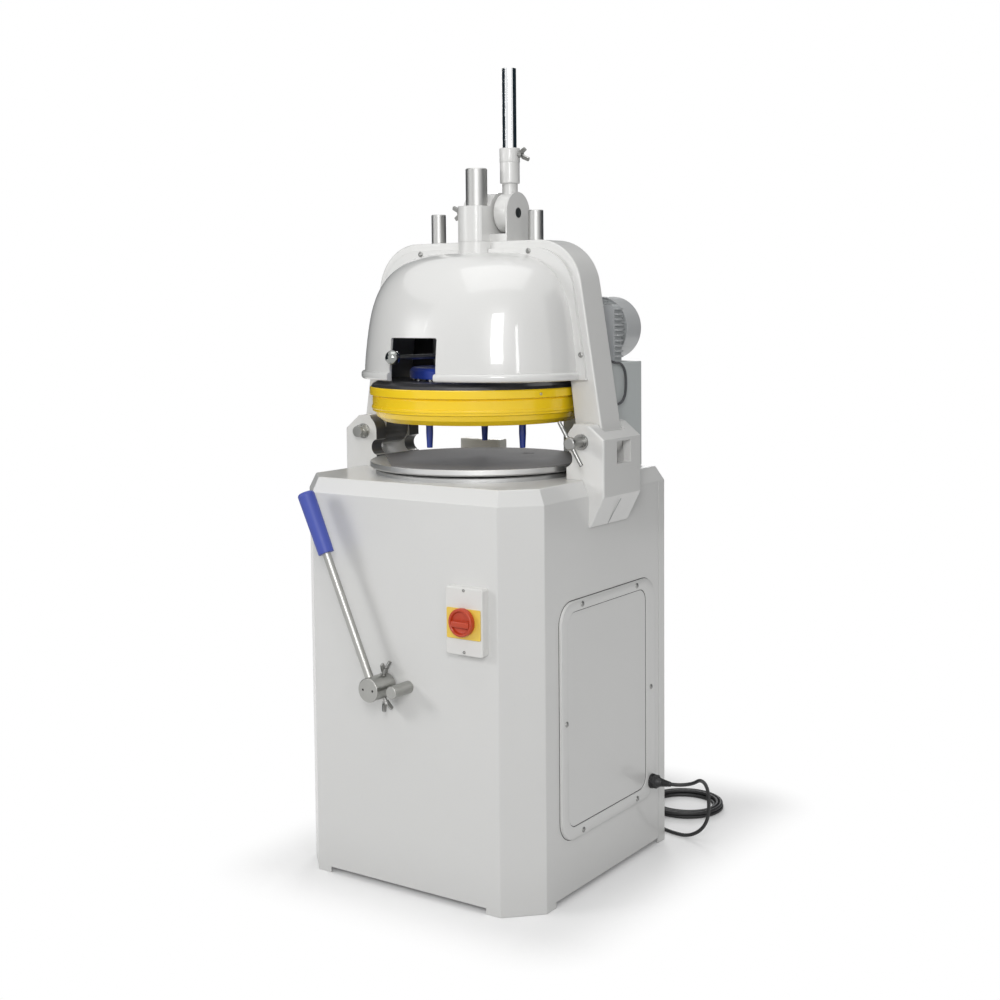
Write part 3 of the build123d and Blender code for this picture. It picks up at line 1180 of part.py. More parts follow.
def table_bed():
    """Flat ring on the cabinet's top below the table."""
    return turned(((TABLE_HOLE_R, CAB_TOP), (BED_R, CAB_TOP), (BED_R, CAB_TOP + BED_H - 2),
                   (BED_R - 2, CAB_TOP + BED_H), (TABLE_HOLE_R, CAB_TOP + BED_H)))


def table_disc():
    """Round table with a bore below for the crank pin."""
    top = TABLE_BOTTOM + TABLE_T
    disc = turned(((0, TABLE_BOTTOM), (TABLE_R - 3, TABLE_BOTTOM), (TABLE_R, TABLE_BOTTOM + 3),
                   (TABLE_R, top - 1), (TABLE_R - 1, top), (0, top)))
    pin_top = FLANGE_TOP + CRANK_PIN_H
    return disc - rod_z(CRANK_X, CRANK_Y, CRANK_PIN_R + RUN_FIT, TABLE_BOTTOM - 1, pin_top + SIDE_PLAY)


def mould_sheet():
    """Dark sheet on the table, cut straight at the front left and slotted once."""
    face = Sketch() + Circle(SHEET_R)
    face -= Rot(0, 0, SHEET_CUT_ANGLE) * Pos(2 * SHEET_R - SHEET_CUT, 0) * Rectangle(2 * SHEET_R, 2 * SHEET_R)
    face -= Pos(*SHEET_SLOT_AT) * SlotOverall(*SHEET_SLOT, rotation=SHEET_SLOT_TURN)
    return along_z(face, TABLE_TOP - SHEET_T, TABLE_TOP)


def eased(points):
    """Straight runs joined by tangent arcs, each as wide as its shorter run allows."""
    radii = []
    for number in range(1, len(points) - 1):
        a, b, c = [Vector(*point) for point in points[number - 1:number + 2]]
        turn = math.radians((b - a).get_angle(c - b))
        radii.append(0.45 * min((b - a).length, (c - b).length) / math.tan(turn / 2))
    return FilletPolyline(*points, radius=radii), min(radii)


def tube(path, r, name, least):
    """Tube swept along a path, with its least bend and its volume check printed."""
    start = Plane(path @ 0, z_dir=path % 0)
    body = sweep(start * Circle(r), path=path)
    share = body.volume / (math.pi * r * r * path.length)
    print(name, "length", round(path.length), "least bend", round(least, 1), "volume share", round(share, 4))
    return body


def cord():
    path, least = eased(CORD_ROUTE)
    return tube(path, CORD_R, "cord", least)


def tail():
    path, least = eased(TAIL_ROUTE)
    return tube(path, CORD_R, "tail", least)


def motor_lead():
    """Lead from the gear case's front over the stand's edge, with an end fitting on its side."""
    path, least = eased(LEAD_ROUTE)
    x, y, z = LEAD_ROUTE[-1]
    face = STAND_X[1]
    fitting = box((face, x + 2 * LEAD_R), (y - 4 * LEAD_R, y + 1), (z - 2 * LEAD_R, z + 2 * LEAD_R))
    fitting = fillet(fitting.edges().filter_by(Axis.Y), 2)
    return tube(path, LEAD_R, "lead", least) + fitting


def coil_point(turn):
    """Centre line of the coil: in on the floor layer, up in the middle half turn, out on top."""
    half = COIL_TURNS / 2
    r = COIL_R - COIL_STEP * (turn if turn < half else COIL_TURNS - turn)
    climb = min(max((turn - half + 0.25) / 0.5, 0.0), 1.0)
    z = CORD_R + COIL_LIFT + COIL_LAYER * climb * climb * (3 - 2 * climb)
    angle = math.pi - 2 * math.pi * turn
    return Vector(COIL_CENTRE[0] + r * math.cos(angle), COIL_CENTRE[1] + r * math.sin(angle), z)


def coil_heading(turn):
    """Heading of the coil; level and square to the radius at both ends and at the reversal."""
    if turn in (0, COIL_TURNS):
        return Vector(0, 1, 0)
    step = 0.001
    return (coil_point(turn + step) - coil_point(turn - step)).normalized()


def biarc(p0, t0, p1, t1):
    """Two tangent arcs from one point and heading to another."""
    v = p1 - p0
    t = t0 + t1
    k = 2 * (1 - t0.dot(t1))
    reach = (-v.dot(t) + math.sqrt(v.dot(t) ** 2 + k * v.dot(v))) / k
    q = (p0 + p1 + (t0 - t1) * reach) / 2
    first = TangentArc(p0, q, tangent=t0)
    return [first, TangentArc(q, p1, tangent=first % 1)]


def coil_gap(path):
    """Least clear distance between turns, measured on points along the path."""
    count = 900
    points = [path @ (number / count) for number in range(count + 1)]
    skip = int(count / COIL_TURNS * 0.4)
    least = min((points[i] - points[j]).length for i in range(count + 1) for j in range(i + skip, count + 1))
    return least - 2 * CORD_R


def coil():
    """Wound spare cord: one unbroken tube in two layers."""
    arcs = []
    for number in range(4 * COIL_TURNS):
        a, b = number / 4, (number + 1) / 4
        arcs += biarc(coil_point(a), coil_heading(a), coil_point(b), coil_heading(b))
    path = Wire(arcs)
    print("coil least gap", round(coil_gap(path), 2))
    return tube(path, CORD_R, "coil", COIL_R - COIL_STEP * COIL_TURNS / 2)


def gland():
    """Cord gland on the cabinet's right side."""
    x = CAB_HALF + PANEL_T
    body = rod_x(GLAND_Y, GLAND_Z, GLAND_FLANGE_R - 4, CAB_HALF - 2 * CAB_WALL, x)
    body += rod_x(GLAND_Y, GLAND_Z, GLAND_FLANGE_R, x, x + 6)
    nut = along_x(Pos(GLAND_Y, GLAND_Z) * RegularPolygon(GLAND_NUT_R, 6), x + 6, x + 18)
    cone = Cone(GLAND_NUT_R - 3, CORD_R + 3, GLAND_LENGTH - 18)
    body += nut + Pos(x + (18 + GLAND_LENGTH) / 2, GLAND_Y, GLAND_Z) * Rot(0, 90, 0) * cone
    return body


def plug():
    """Round two-pin plug lying on the floor at the cord's end."""
    x, y, z = TAIL_ROUTE[-1]
    body = turned(((0, 0), (CORD_R + 2, 0), (CORD_R + 3, 14), (PLUG_R, 22), (PLUG_R, PLUG_L - 2),
                   (PLUG_R - 2, PLUG_L), (0, PLUG_L)))
    for side in (-1, 1):
        pin = rod_z(0, side * PLUG_R / 2, PIN_R, PLUG_L, PLUG_L + PIN_L)
        body += fillet(pin.faces().sort_by(Axis.Z)[-1].edges(), PIN_R / 2)
    return Pos(x, y, z) * Rot(0, -90, 0) * body


NODES = {
    "cabinet": cabinet,
    "base_plate": base_plate,
    "access_panel": access_panel,
    "panel_screws": panel_screws,
    "bracket_right": bracket_right,
    "bracket_left": bracket_left,
    "pivot_bolt": pivot_bolt,
    "switch_box": switch_box,
    "switch_plate": switch_plate,
    "switch_knob": switch_knob,
    "lever_bush": lever_bush,
    "stop_stub": stop_stub,
    "table_bed": table_bed,
    "lift_guide": lift_guide,
    "pulley_housing": pulley_housing,
    "shaft_bearing": shaft_bearing,
    "motor_stand": motor_stand,
    "gear_case": gear_case,
    "motor_body": motor_body,
    "fan_cowl": fan_cowl,
    "motor_lead": motor_lead,
    "switch_block": switch_block,
    "drive_belt": drive_belt,
    "cord_gland": gland,
    "mains_cord": cord,
    "cord_coil": coil,
    "cord_tail": tail,
    "mains_plug": plug,
    "arch": arch,
    "press_tower": press_tower,
    "head_cover": head_cover,
    "cover_screws": cover_screws,
    "spider": spider,
    "press_plates": press_plates,
    "ram": ram,
    "guide_rods": guide_rods,
    "carrier_plate": carrier,
    "dough_ring": ring,
    "knife_grid": knives,
    "press_pinion": pinion,
    "lever_hub": lever_hub,
    "lever_tube": lever_tube,
    "socket_screw": socket_screw,
    "tower_screw": tower_screw,
    "lock_lever": lock_lever,
    "ball_knob": ball_knob,
    "front_hub": front_hub,
    "front_rod": front_rod,
    "front_grip": front_grip,
    "hub_screw_top": lambda: hub_screw(0),
    "hub_screw_low": lambda: hub_screw(1),
    "lift_pinion": lift_pinion,
    "lift_column": lift_column,
    "crank": crank,
    "table_disc": table_disc,
    "mould_sheet": mould_sheet,
    "crank_pulley": crank_pulley,
    "drive_shaft": drive_shaft,
    "motor_rotor": motor_rotor,
    "clamp_set": lambda: clamp_screw() + tbar(),
}

for name, make in NODES.items():
    export_step(make(), f"parts/{name}.step")
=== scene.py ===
import math

import bmesh
import bpy
from mathutils import Matrix, Vector


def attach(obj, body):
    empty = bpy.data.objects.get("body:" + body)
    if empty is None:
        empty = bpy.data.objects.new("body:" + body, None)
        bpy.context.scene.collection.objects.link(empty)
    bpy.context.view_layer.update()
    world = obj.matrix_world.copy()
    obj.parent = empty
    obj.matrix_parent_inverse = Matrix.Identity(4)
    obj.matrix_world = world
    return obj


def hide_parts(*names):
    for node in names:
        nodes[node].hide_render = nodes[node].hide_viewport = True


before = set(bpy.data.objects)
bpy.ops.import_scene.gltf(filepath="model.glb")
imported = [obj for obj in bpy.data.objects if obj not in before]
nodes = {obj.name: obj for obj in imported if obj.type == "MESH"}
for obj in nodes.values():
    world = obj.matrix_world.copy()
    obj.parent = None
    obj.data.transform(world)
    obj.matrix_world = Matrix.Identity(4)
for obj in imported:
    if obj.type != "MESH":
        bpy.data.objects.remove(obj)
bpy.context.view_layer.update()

scene = bpy.context.scene
scene.view_settings.view_transform = "Standard"

MM = 0.001
RIGHT = (1, 0, 0)
FRONT = (0, -1, 0)
BACK = (0, 1, 0)
UP = (0, 0, 1)


def mm(*place):
    """A place given in millimetres."""
    return Vector(place) * MM


def polar(radius, angle, height):
    """A place at a radius and an angle about Z."""
    turn = math.radians(angle)
    return Vector((radius * math.cos(turn), radius * math.sin(turn), height))


def rotation(axis, degrees):
    return Matrix.Rotation(math.radians(degrees), 4, axis)


# Camera where the photograph was taken from
CAMERA_PLACE = (1830.5, -2597.6, 1196.3)
CAMERA_TURN = 34.35
CAMERA_DIP = 4.2
CAMERA_ROLL = -0.53

lens = bpy.data.cameras.new("photo_camera")
lens.sensor_width = 36.0
lens.lens = 53.35
lens.shift_y = -0.0865
lens.clip_end = 60.0
camera = bpy.data.objects.new("photo_camera", lens)
camera.matrix_world = (Matrix.Translation(mm(*CAMERA_PLACE)) @ rotation("Z", CAMERA_TURN)
                       @ rotation("X", 90 - CAMERA_DIP) @ rotation("Z", CAMERA_ROLL))
scene.collection.objects.link(camera)
scene.camera = camera


class Wire:
    """A shader socket that can stand in a sum."""

    def __init__(self, finish, socket):
        self.finish = finish
        self.socket = socket

    def __add__(self, other):
        return self.finish.maths("ADD", self, other)

    def __radd__(self, other):
        return self.finish.maths("ADD", other, self)

    def __sub__(self, other):
        return self.finish.maths("SUBTRACT", self, other)

    def __rsub__(self, other):
        return self.finish.maths("SUBTRACT", other, self)

    def __mul__(self, other):
        return self.finish.maths("MULTIPLY", self, other)

    def __rmul__(self, other):
        return self.finish.maths("MULTIPLY", other, self)


class Finish:
    """A surface finish: one shader, its fixed values, and the nodes that vary it."""

    def __init__(self, name, fixed, tree=None):
        if tree is None:
            self.material = bpy.data.materials.new(name)
            self.material.use_nodes = True
            tree = self.material.node_tree
        self.tree = tree
        tree.nodes.clear()
        if fixed is not None:
            shader = self.node("ShaderNodeBsdfPrincipled", {}, fixed)
            self.shader = shader.socket.node
            self.node("ShaderNodeOutputMaterial", {}, {"Surface": shader}, None)

    def node(self, kind, settings=None, sockets=None, out=0):
        """Adds a node: its settings first, then the values or links of its sockets."""
        made = self.tree.nodes.new(kind)
        for key, value in (settings or {}).items():
            setattr(made, key, value)
        for key, value in (sockets or {}).items():
            self.feed(made, key, value)
        if out is None:
            return made
        return Wire(self, self.pick(made.outputs, out))

    @staticmethod
    def pick(sockets, key):
        """A socket by number, identifier or name."""
        if isinstance(key, int):
            return sockets[key]
        for socket in sockets:
            if socket.identifier == key:
                return socket
        return sockets[key]

    def feed(self, node, key, value):
        """Links a socket, or sets the value that it has all over."""
        socket = self.pick(node.inputs, key)
        if isinstance(value, Wire):
            self.tree.links.new(value.socket, socket)
        elif isinstance(value, tuple) and len(value) == 3 and socket.type == "RGBA":
            socket.default_value = (*value, 1)
        else:
            socket.default_value = value

    def drive(self, **varied):
        """Links what varies over the surface to the shader."""
        for key, value in varied.items():
            self.feed(self.shader, key.replace("_", " "), value)

    def maths(self, kind, *values):
        return self.node("ShaderNodeMath", {"operation": kind}, dict(enumerate(values)))

    def spot(self, kind):
        """The point that is shaded, in coordinates of this kind."""
        return self.node("ShaderNodeTexCoord", {}, {}, kind)

    def place(self, stretch=None, turn=(0, 0, 0)):
        """Where the point lies in metres, stretched and turned for a pattern that runs one way."""
        if stretch is None:
            return self.spot("Object")
        return self.node("ShaderNodeMapping", {"vector_type": "POINT"},
                         {"Vector": self.spot("Object"), "Rotation": turn, "Scale": stretch})

    def parts(self, vector, sides):
        return [self.node("ShaderNodeSeparateXYZ", {}, {"Vector": vector}, side) for side in sides]

    def axes(self):
        return self.parts(self.place(), "XYZ")

    def noise(self, scale, detail=3.0, rough=0.5, vector=None):
        return self.node("ShaderNodeTexNoise", {"noise_dimensions": "3D"},
                         {"Vector": vector or self.place(), "Scale": scale,
                          "Detail": detail, "Roughness": rough}, "Fac")

    def cells(self, scale):
        return self.node("ShaderNodeTexVoronoi", {"feature": "F1"},
                         {"Vector": self.place(), "Scale": scale}, "Distance")

    def ease(self, value, low, high, start=0.0, end=1.0):
        """Goes smoothly from start to end while the value goes from low to high."""
        return self.node("ShaderNodeMapRange", {"interpolation_type": "SMOOTHSTEP"},
                         {"Value": value, "From Min": low, "From Max": high,
                          "To Min": start, "To Max": end}, "Result")

    def blend(self, factor, first, second):
        return self.node("ShaderNodeMix", {"data_type": "RGBA"},
                         {"Factor_Float": factor, "A_Color": first, "B_Color": second},
                         "Result_Color")

    def softened(self, radius):
        """The normal that the surface would have with its corners at this radius."""
        return self.node("ShaderNodeBevel", {"samples": 4}, {"Radius": radius})

    def edges(self, radius):
        """How much a corner of this radius turns here, from 0 on flats to 1."""
        flat = self.node("ShaderNodeNewGeometry", {}, {}, "Normal")
        turn = self.node("ShaderNodeVectorMath", {"operation": "DOT_PRODUCT"},
                         {0: self.softened(radius), 1: flat}, "Value")
        return self.ease(1 - turn, 0.02, 0.22)

    def relief(self, height, strength, depth, corner=0.0):
        sockets = {"Height": height, "Strength": strength, "Distance": depth}
        if corner:
            sockets["Normal"] = self.softened(corner)
        self.drive(Normal=self.node("ShaderNodeBump", {}, sockets))

    def seen(self):
        """1 where the eye looks, straight or by way of metal and glass, and 0 for other light."""
        rays = self.node("ShaderNodeLightPath", out=None)
        camera_ray, glossy_ray, clear_ray = [
            Wire(self, rays.outputs["Is " + kind + " Ray"])
            for kind in ("Camera", "Glossy", "Transmission")]
        return camera_ray + glossy_ray + clear_ray


def darker(colour, share):
    return tuple(part * share for part in colour)


# Paints and enamels
CASTING_WHITE = (0.715, 0.714, 0.70)
# The tone below is painted shade, laid on the innermost faces of the legs and brackets under the head
INNER_SHADE_TONE = (0.085, 0.086, 0.09)
WORN_THROUGH = (0.5, 0.48, 0.43)

# The arch's legs lean in by LEG_SLOPE for each metre of height. Their innermost faces lie within
# LEG_INSIDE of the middle, followed down along that lean to the floor, and look in by FACING_IN
LEG_SLOPE = 0.122
LEG_INSIDE = (0.388, 0.376)
FACING_IN = (-0.08, -0.16)


def painted_inner_shade(paint):
    """Painted shade: the innermost faces of the legs and brackets, which look in over the table, darkened
    where shade falls under the head.
    """
    x, _, z = paint.axes()
    across = paint.parts(paint.spot("Normal"), "X")[0]
    out = paint.maths("ABSOLUTE", x) + LEG_SLOPE * z
    return paint.ease(x * across, *FACING_IN) * paint.ease(out, *LEG_INSIDE)


def sprayed_paint(name, colour, gloss, peel, lumps, corner=0.0015, lacquer=(0.35, 0.1),
                  inner_shade=None):
    """Sprayed machine paint: orange peel, faint clouding, rubbed corners, dust low down, and painted
    shade on inner faces where a shade tone is given.
    """
    paint = Finish(name, {"Coat Weight": lacquer[0], "Coat Roughness": lacquer[1]})
    cloud = paint.noise(5.0, detail=4.0)
    speck = paint.ease(paint.noise(310.0, detail=2.0, rough=0.6), 0.66, 0.74)
    height = paint.axes()[2]
    dust = paint.ease(height + 0.05 * cloud, 0.16, 0.02) * 0.35
    rub = paint.edges(corner) * paint.ease(paint.noise(38.0, detail=4.0), 0.42, 0.62)
    tone = paint.blend(0.25 * cloud, colour, darker(colour, 0.92))
    tone = paint.blend(0.10 * speck, tone, darker(colour, 0.6))
    tone = paint.blend(dust, tone, darker(colour, 0.86))
    tone = paint.blend(0.35 * rub, tone, darker(colour, 0.8))
    # Painted shade on the innermost faces of the legs and brackets
    if inner_shade:
        tone = paint.blend(painted_inner_shade(paint), tone, inner_shade)
    paint.drive(Base_Color=tone, Roughness=gloss + 0.1 * cloud + 0.15 * dust)
    grain = paint.noise(peel, detail=2.0) + lumps * paint.noise(70.0, detail=3.0)
    paint.relief(grain, strength=0.1, depth=0.0006, corner=corner)
    return paint.material


sheet_paint = sprayed_paint("sheet_paint", (0.70, 0.70, 0.688), gloss=0.3, peel=620.0, lumps=0.3,
                            corner=0.0007)
# The castings get painted shade on the inner faces of their legs
casting_paint = sprayed_paint("casting_paint", CASTING_WHITE, gloss=0.26, peel=420.0, lumps=1.6,
                              corner=0.002, inner_shade=INNER_SHADE_TONE)
cover_gloss = sprayed_paint("cover_gloss", CASTING_WHITE, gloss=0.24, peel=520.0, lumps=0.2,
                            corner=0.002, lacquer=(0.7, 0.04))
stand_paint = sprayed_paint("stand_paint", (0.58, 0.61, 0.605), gloss=0.34, peel=480.0, lumps=0.8)
motor_paint = sprayed_paint("motor_paint", (0.46, 0.475, 0.48), gloss=0.38, peel=420.0, lumps=1.4)
cowl_paint = sprayed_paint("cowl_paint", (0.52, 0.53, 0.535), gloss=0.36, peel=500.0, lumps=0.4)
# The grey below also tints the toe seams, where it is painted shade
primer_and_seam_shade = sprayed_paint("plate_primer_and_seam_shade", (0.34, 0.35, 0.35), gloss=0.5, peel=380.0, lumps=0.6)


def enamel(name, colour, gloss, wear, scratches):
    """Thick enamel with fine scratches and corners worn through to the metal."""
    coat = Finish(name, {"Coat Weight": 0.25, "Coat Roughness": 0.08})
    corner = 0.0012
    cloud = coat.noise(9.0, detail=4.0)
    drawn = coat.noise(60.0, detail=5.0, rough=0.65, vector=coat.place((1, 1, 14)))
    line = coat.ease(drawn, 0.64, 0.7) * scratches
    patch = coat.ease(coat.noise(46.0, detail=5.0, rough=0.6), 0.5, 0.64)
    worn = coat.edges(corner) * patch * wear
    tone = coat.blend(0.3 * cloud, colour, darker(colour, 0.84))
    tone = coat.blend(line, tone, darker(colour, 0.7))
    tone = coat.blend(worn, tone, WORN_THROUGH)
    coat.drive(Base_Color=tone, Metallic=0.9 * worn, Roughness=gloss + 0.12 * cloud + 0.2 * line)
    coat.relief(coat.noise(380.0, detail=2.0) - 0.4 * line, strength=0.08, depth=0.0005, corner=corner)
    return coat.material


ring_enamel = enamel("ring_enamel", (0.97, 0.66, 0.012), gloss=0.2, wear=0.4, scratches=0.25)
blue_enamel = enamel("blue_enamel", (0.026, 0.062, 0.40), gloss=0.24, wear=0.3, scratches=0.2)
carrier_black = enamel("carrier_black", (0.022, 0.022, 0.024), gloss=0.32, wear=0.75, scratches=0.3)

# Metals
RUBBED_STEEL = (0.86, 0.86, 0.85)
RUBBED_ALUMINIUM = (0.85, 0.85, 0.84)


def ground_metal(name, colour, gloss, lines, depth):
    """Ground or turned metal: fine lines across the stretched axis, smudges, bright corners."""
    metal = Finish(name, {"Metallic": 1.0})
    cut = metal.noise(18.0, detail=6.0, rough=0.7, vector=metal.place(lines))
    smudge = metal.ease(metal.noise(14.0, detail=4.0), 0.4, 0.75) * 0.3
    bright = metal.edges(0.0008)
    tone = metal.blend(0.5 * cut, colour, darker(colour, 0.72))
    tone = metal.blend(0.5 * smudge, tone, darker(colour, 0.66))
    tone = metal.blend(0.5 * bright, tone, RUBBED_STEEL)
    metal.drive(Base_Color=tone, Roughness=gloss + 0.14 * cut + 0.2 * smudge)
    metal.relief(cut, strength=0.12, depth=depth, corner=0.0005)
    return metal.material


upright_steel = ground_metal("upright_steel", (0.47, 0.47, 0.46), gloss=0.36, lines=(40, 40, 2),
                             depth=0.00008)
cross_steel = ground_metal("cross_steel", (0.44, 0.44, 0.42), gloss=0.27, lines=(2, 60, 2),
                           depth=0.00008)
knife_steel = ground_metal("knife_steel", (0.62, 0.62, 0.61), gloss=0.22, lines=(30, 30, 1.5),
                           depth=0.0001)
zinc_steel = ground_metal("zinc_steel", (0.34, 0.34, 0.33), gloss=0.22, lines=(14, 14, 14),
                          depth=0.00015)
bearing_brass = ground_metal("bearing_brass", (0.62, 0.44, 0.18), gloss=0.25, lines=(3, 50, 3),
                             depth=0.0002)


def plated(name, colour, gloss):
    """Bright plating with faint finger marks and no grain."""
    plate = Finish(name, {"Metallic": 1.0})
    mark = plate.ease(plate.noise(26.0, detail=4.0), 0.5, 0.8)
    tone = plate.blend(0.4 * mark, colour, darker(colour, 0.85))
    plate.drive(Base_Color=tone, Roughness=gloss + 0.1 * mark)
    return plate.material


chrome = plated("chrome", (0.80, 0.81, 0.82), gloss=0.07)
ball_chrome = plated("ball_chrome", (0.30, 0.31, 0.30), gloss=0.10)


def turned_metal(name, colour, gloss, centre):
    """Faced on a lathe: fine rings about an upright axis."""
    metal = Finish(name, {"Metallic": 1.0})
    spot = metal.node("ShaderNodeVectorMath", {"operation": "SUBTRACT"},
                      {0: metal.place((1, 1, 0)), 1: centre}, "Vector")
    reach = metal.node("ShaderNodeVectorMath", {"operation": "LENGTH"}, {0: spot}, "Value")
    ring = metal.node("ShaderNodeTexNoise", {"noise_dimensions": "1D"},
                      {"W": reach, "Scale": 900.0, "Detail": 3.0}, "Fac")
    cloud = metal.noise(11.0, detail=5.0)
    bright = metal.edges(0.001)
    tone = metal.blend(0.4 * ring, colour, darker(colour, 0.8))
    tone = metal.blend(0.3 * cloud, tone, darker(colour, 0.75))
    tone = metal.blend(0.5 * bright, tone, RUBBED_ALUMINIUM)
    metal.drive(Base_Color=tone, Roughness=gloss + 0.12 * ring + 0.12 * cloud)
    metal.relief(ring, strength=0.3, depth=0.0002, corner=0.0008)
    return metal.material


table_aluminium = turned_metal("table_aluminium", (0.66, 0.66, 0.655), gloss=0.3, centre=(0, 0.01, 0))
bed_aluminium = turned_metal("bed_aluminium", (0.56, 0.56, 0.555), gloss=0.38, centre=(0, 0, 0))


def cast_metal(name, colour, gloss, metallic):
    """Rough casting: grains of the sand mould, dark hollows."""
    cast = Finish(name, {})
    grain = cast.cells(420.0)
    lump = cast.noise(60.0, detail=5.0, rough=0.65)
    bright = cast.edges(0.0012)
    rubbed = tuple(min(1, part * 1.6) for part in colour)
    tone = cast.blend(lump, darker(colour, 0.7), colour)
    tone = cast.blend(0.5 * bright, tone, rubbed)
    cast.drive(Base_Color=tone, Metallic=metallic - 0.2 * lump, Roughness=gloss + 0.2 * lump)
    cast.relief(grain + 2 * lump, strength=0.3, depth=0.0006, corner=0.001)
    return cast.material


cast_iron = cast_metal("cast_iron", (0.20, 0.195, 0.19), gloss=0.5, metallic=0.6)
plate_aluminium = cast_metal("plate_aluminium", (0.60, 0.60, 0.59), gloss=0.38, metallic=0.95)


# Plastics, rubber and the dough sheet
def moulded(name, colour, gloss, spark, depth, coat=0.0):
    """Moulded plastic with a fine spark-eroded grain and rubbed corners."""
    cast = Finish(name, {"Coat Weight": coat, "Coat Roughness": 0.15})
    grain = cast.cells(spark)
    cloud = cast.noise(24.0, detail=4.0)
    rub = cast.edges(0.0012)
    rubbed = tuple(part + 0.12 * (1 - part) for part in colour)
    tone = cast.blend(0.35 * cloud, colour, darker(colour, 0.84))
    tone = cast.blend(0.25 * rub, tone, rubbed)
    cast.drive(Base_Color=tone, Roughness=gloss + 0.12 * cloud - 0.06 * rub)
    cast.relief(grain, strength=0.2, depth=depth, corner=0.001)
    return cast.material


grip_plastic = moulded("grip_plastic", (0.058, 0.088, 0.41), gloss=0.42, spark=900.0, depth=0.0003)
box_plastic = moulded("box_plastic", (0.76, 0.755, 0.735), gloss=0.36, spark=1500.0, depth=0.0002)
plate_yellow = moulded("plate_yellow", (0.86, 0.60, 0.085), gloss=0.3, spark=1500.0, depth=0.0001,
                       coat=0.3)
knob_red = moulded("knob_red", (0.52, 0.05, 0.012), gloss=0.36, spark=1300.0, depth=0.0001, coat=0.15)
block_plastic = moulded("block_plastic", (0.66, 0.66, 0.64), gloss=0.4, spark=1300.0, depth=0.0002)
cord_rubber = moulded("cord_rubber", (0.018, 0.018, 0.019), gloss=0.46, spark=700.0, depth=0.0003)
# This black also makes the panel's dark strips, where it is painted shade
rubber_and_seam_shade = moulded("rubber_and_seam_shade", (0.016, 0.016, 0.017), gloss=0.4, spark=900.0, depth=0.0003)
# The near-black below is painted shade: it keeps the rear guards as dark as the shade inside the head
guard_shade_black = moulded("guard_shade_black", (0.008, 0.008, 0.009), gloss=0.62, spark=1100.0, depth=0.0002)


def dough_sheet():
    """Grey release sheet: pebbled, slightly floury, with knife marks."""
    sheet = Finish("dough_sheet", {"Specular IOR Level": 0.25})
    pebble = sheet.cells(520.0)
    cloud = sheet.noise(9.0, detail=5.0, rough=0.6)
    flour = sheet.ease(sheet.noise(26.0, detail=6.0, rough=0.7), 0.56, 0.78)
    drawn = sheet.noise(20.0, detail=4.0, rough=0.6, vector=sheet.place((0.6, 16, 1), (0, 0, 0.5)))
    cut = sheet.ease(drawn, 0.66, 0.7)
    tone = sheet.blend(cloud, (0.155, 0.153, 0.158), (0.215, 0.213, 0.218))
    tone = sheet.blend(0.22 * flour, tone, (0.4, 0.39, 0.37))
    tone = sheet.blend(0.3 * cut, tone, (0.07, 0.07, 0.07))
    sheet.drive(Base_Color=tone, Roughness=0.74 + 0.16 * flour)
    sheet.relief(pebble - cut, strength=0.3, depth=0.0004)
    return sheet.material


sheet_grey = dough_sheet()


def braided_lead():
    """Dark braid over the motor lead, two sets of strands on the cord's own map."""
    braid = Finish("braided_lead", {"Sheen Weight": 0.2})
    along, around = braid.parts(braid.spot("UV"), "XY")
    run = 540.0 * along
    wrap = 50.3 * around
    over = braid.maths("MAXIMUM", braid.maths("SINE", run + wrap), braid.maths("SINE", run - wrap))
    tone = braid.blend(braid.ease(over, -0.4, 0.9), (0.012, 0.012, 0.014), (0.075, 0.078, 0.085))
    braid.drive(Base_Color=tone, Roughness=0.62 - 0.1 * over)
    braid.relief(over, strength=0.5, depth=0.0006)
    return braid.material


lead_braid = braided_lead()

# Between these places along X, in metres, the plug's rubber ends and its pins start
PIN_START = (0.0078, 0.0072)


def plug_finish():
    """Rubber body, with nickel pins past its face."""
    plug = Finish("plug_rubber", {})
    pin = plug.ease(plug.axes()[0], *PIN_START)
    grain = plug.cells(800.0)
    rubber = plug.blend(grain, (0.018, 0.018, 0.019), (0.03, 0.03, 0.031))
    tone = plug.blend(pin, rubber, (0.66, 0.64, 0.58))
    plug.drive(Base_Color=tone, Metallic=pin, Roughness=0.48 - 0.26 * pin + 0.06 * grain)
    plug.relief(grain, strength=0.2, depth=0.0003, corner=0.001)
    return plug.material


plug_rubber = plug_finish()

finishes = {
    sheet_paint: ("cabinet", "access_panel"),
    casting_paint: ("arch", "bracket_left", "bracket_right", "press_tower", "lever_hub"),
    cover_gloss: ("head_cover",),
    stand_paint: ("motor_stand",),
    motor_paint: ("motor_body", "gear_case"),
    cowl_paint: ("fan_cowl",),
    primer_and_seam_shade: ("base_plate",),
    ring_enamel: ("dough_ring",),
    blue_enamel: ("spider",),
    carrier_black: ("carrier_plate",),
    upright_steel: ("ram", "guide_rods", "lift_column", "drive_shaft", "crank"),
    cross_steel: ("front_hub", "stop_stub", "pivot_bolt", "press_pinion", "lift_pinion",
                  "front_rod", "motor_rotor"),
    knife_steel: ("knife_grid",),
    zinc_steel: ("panel_screws", "cover_screws", "socket_screw", "tower_screw", "hub_screw_top",
                 "hub_screw_low", "clamp_set", "lock_lever"),
    chrome: ("lever_tube",),
    ball_chrome: ("ball_knob",),
    bearing_brass: ("lever_bush",),
    table_aluminium: ("table_disc",),
    bed_aluminium: ("table_bed",),
    plate_aluminium: ("press_plates",),
    cast_iron: ("lift_guide", "pulley_housing", "shaft_bearing", "crank_pulley"),
    sheet_grey: ("mould_sheet",),
    grip_plastic: ("front_grip",),
    box_plastic: ("switch_box",),
    plate_yellow: ("switch_plate",),
    knob_red: ("switch_knob",),
    block_plastic: ("switch_block",),
    cord_rubber: ("mains_cord", "cord_coil", "cord_tail", "drive_belt"),
    rubber_and_seam_shade: ("cord_gland",),
    lead_braid: ("motor_lead",),
    plug_rubber: ("mains_plug",),
}
for finish, names in finishes.items():
    for name in names:
        slots = nodes[name].data.materials
        slots.clear()
        slots.append(finish)


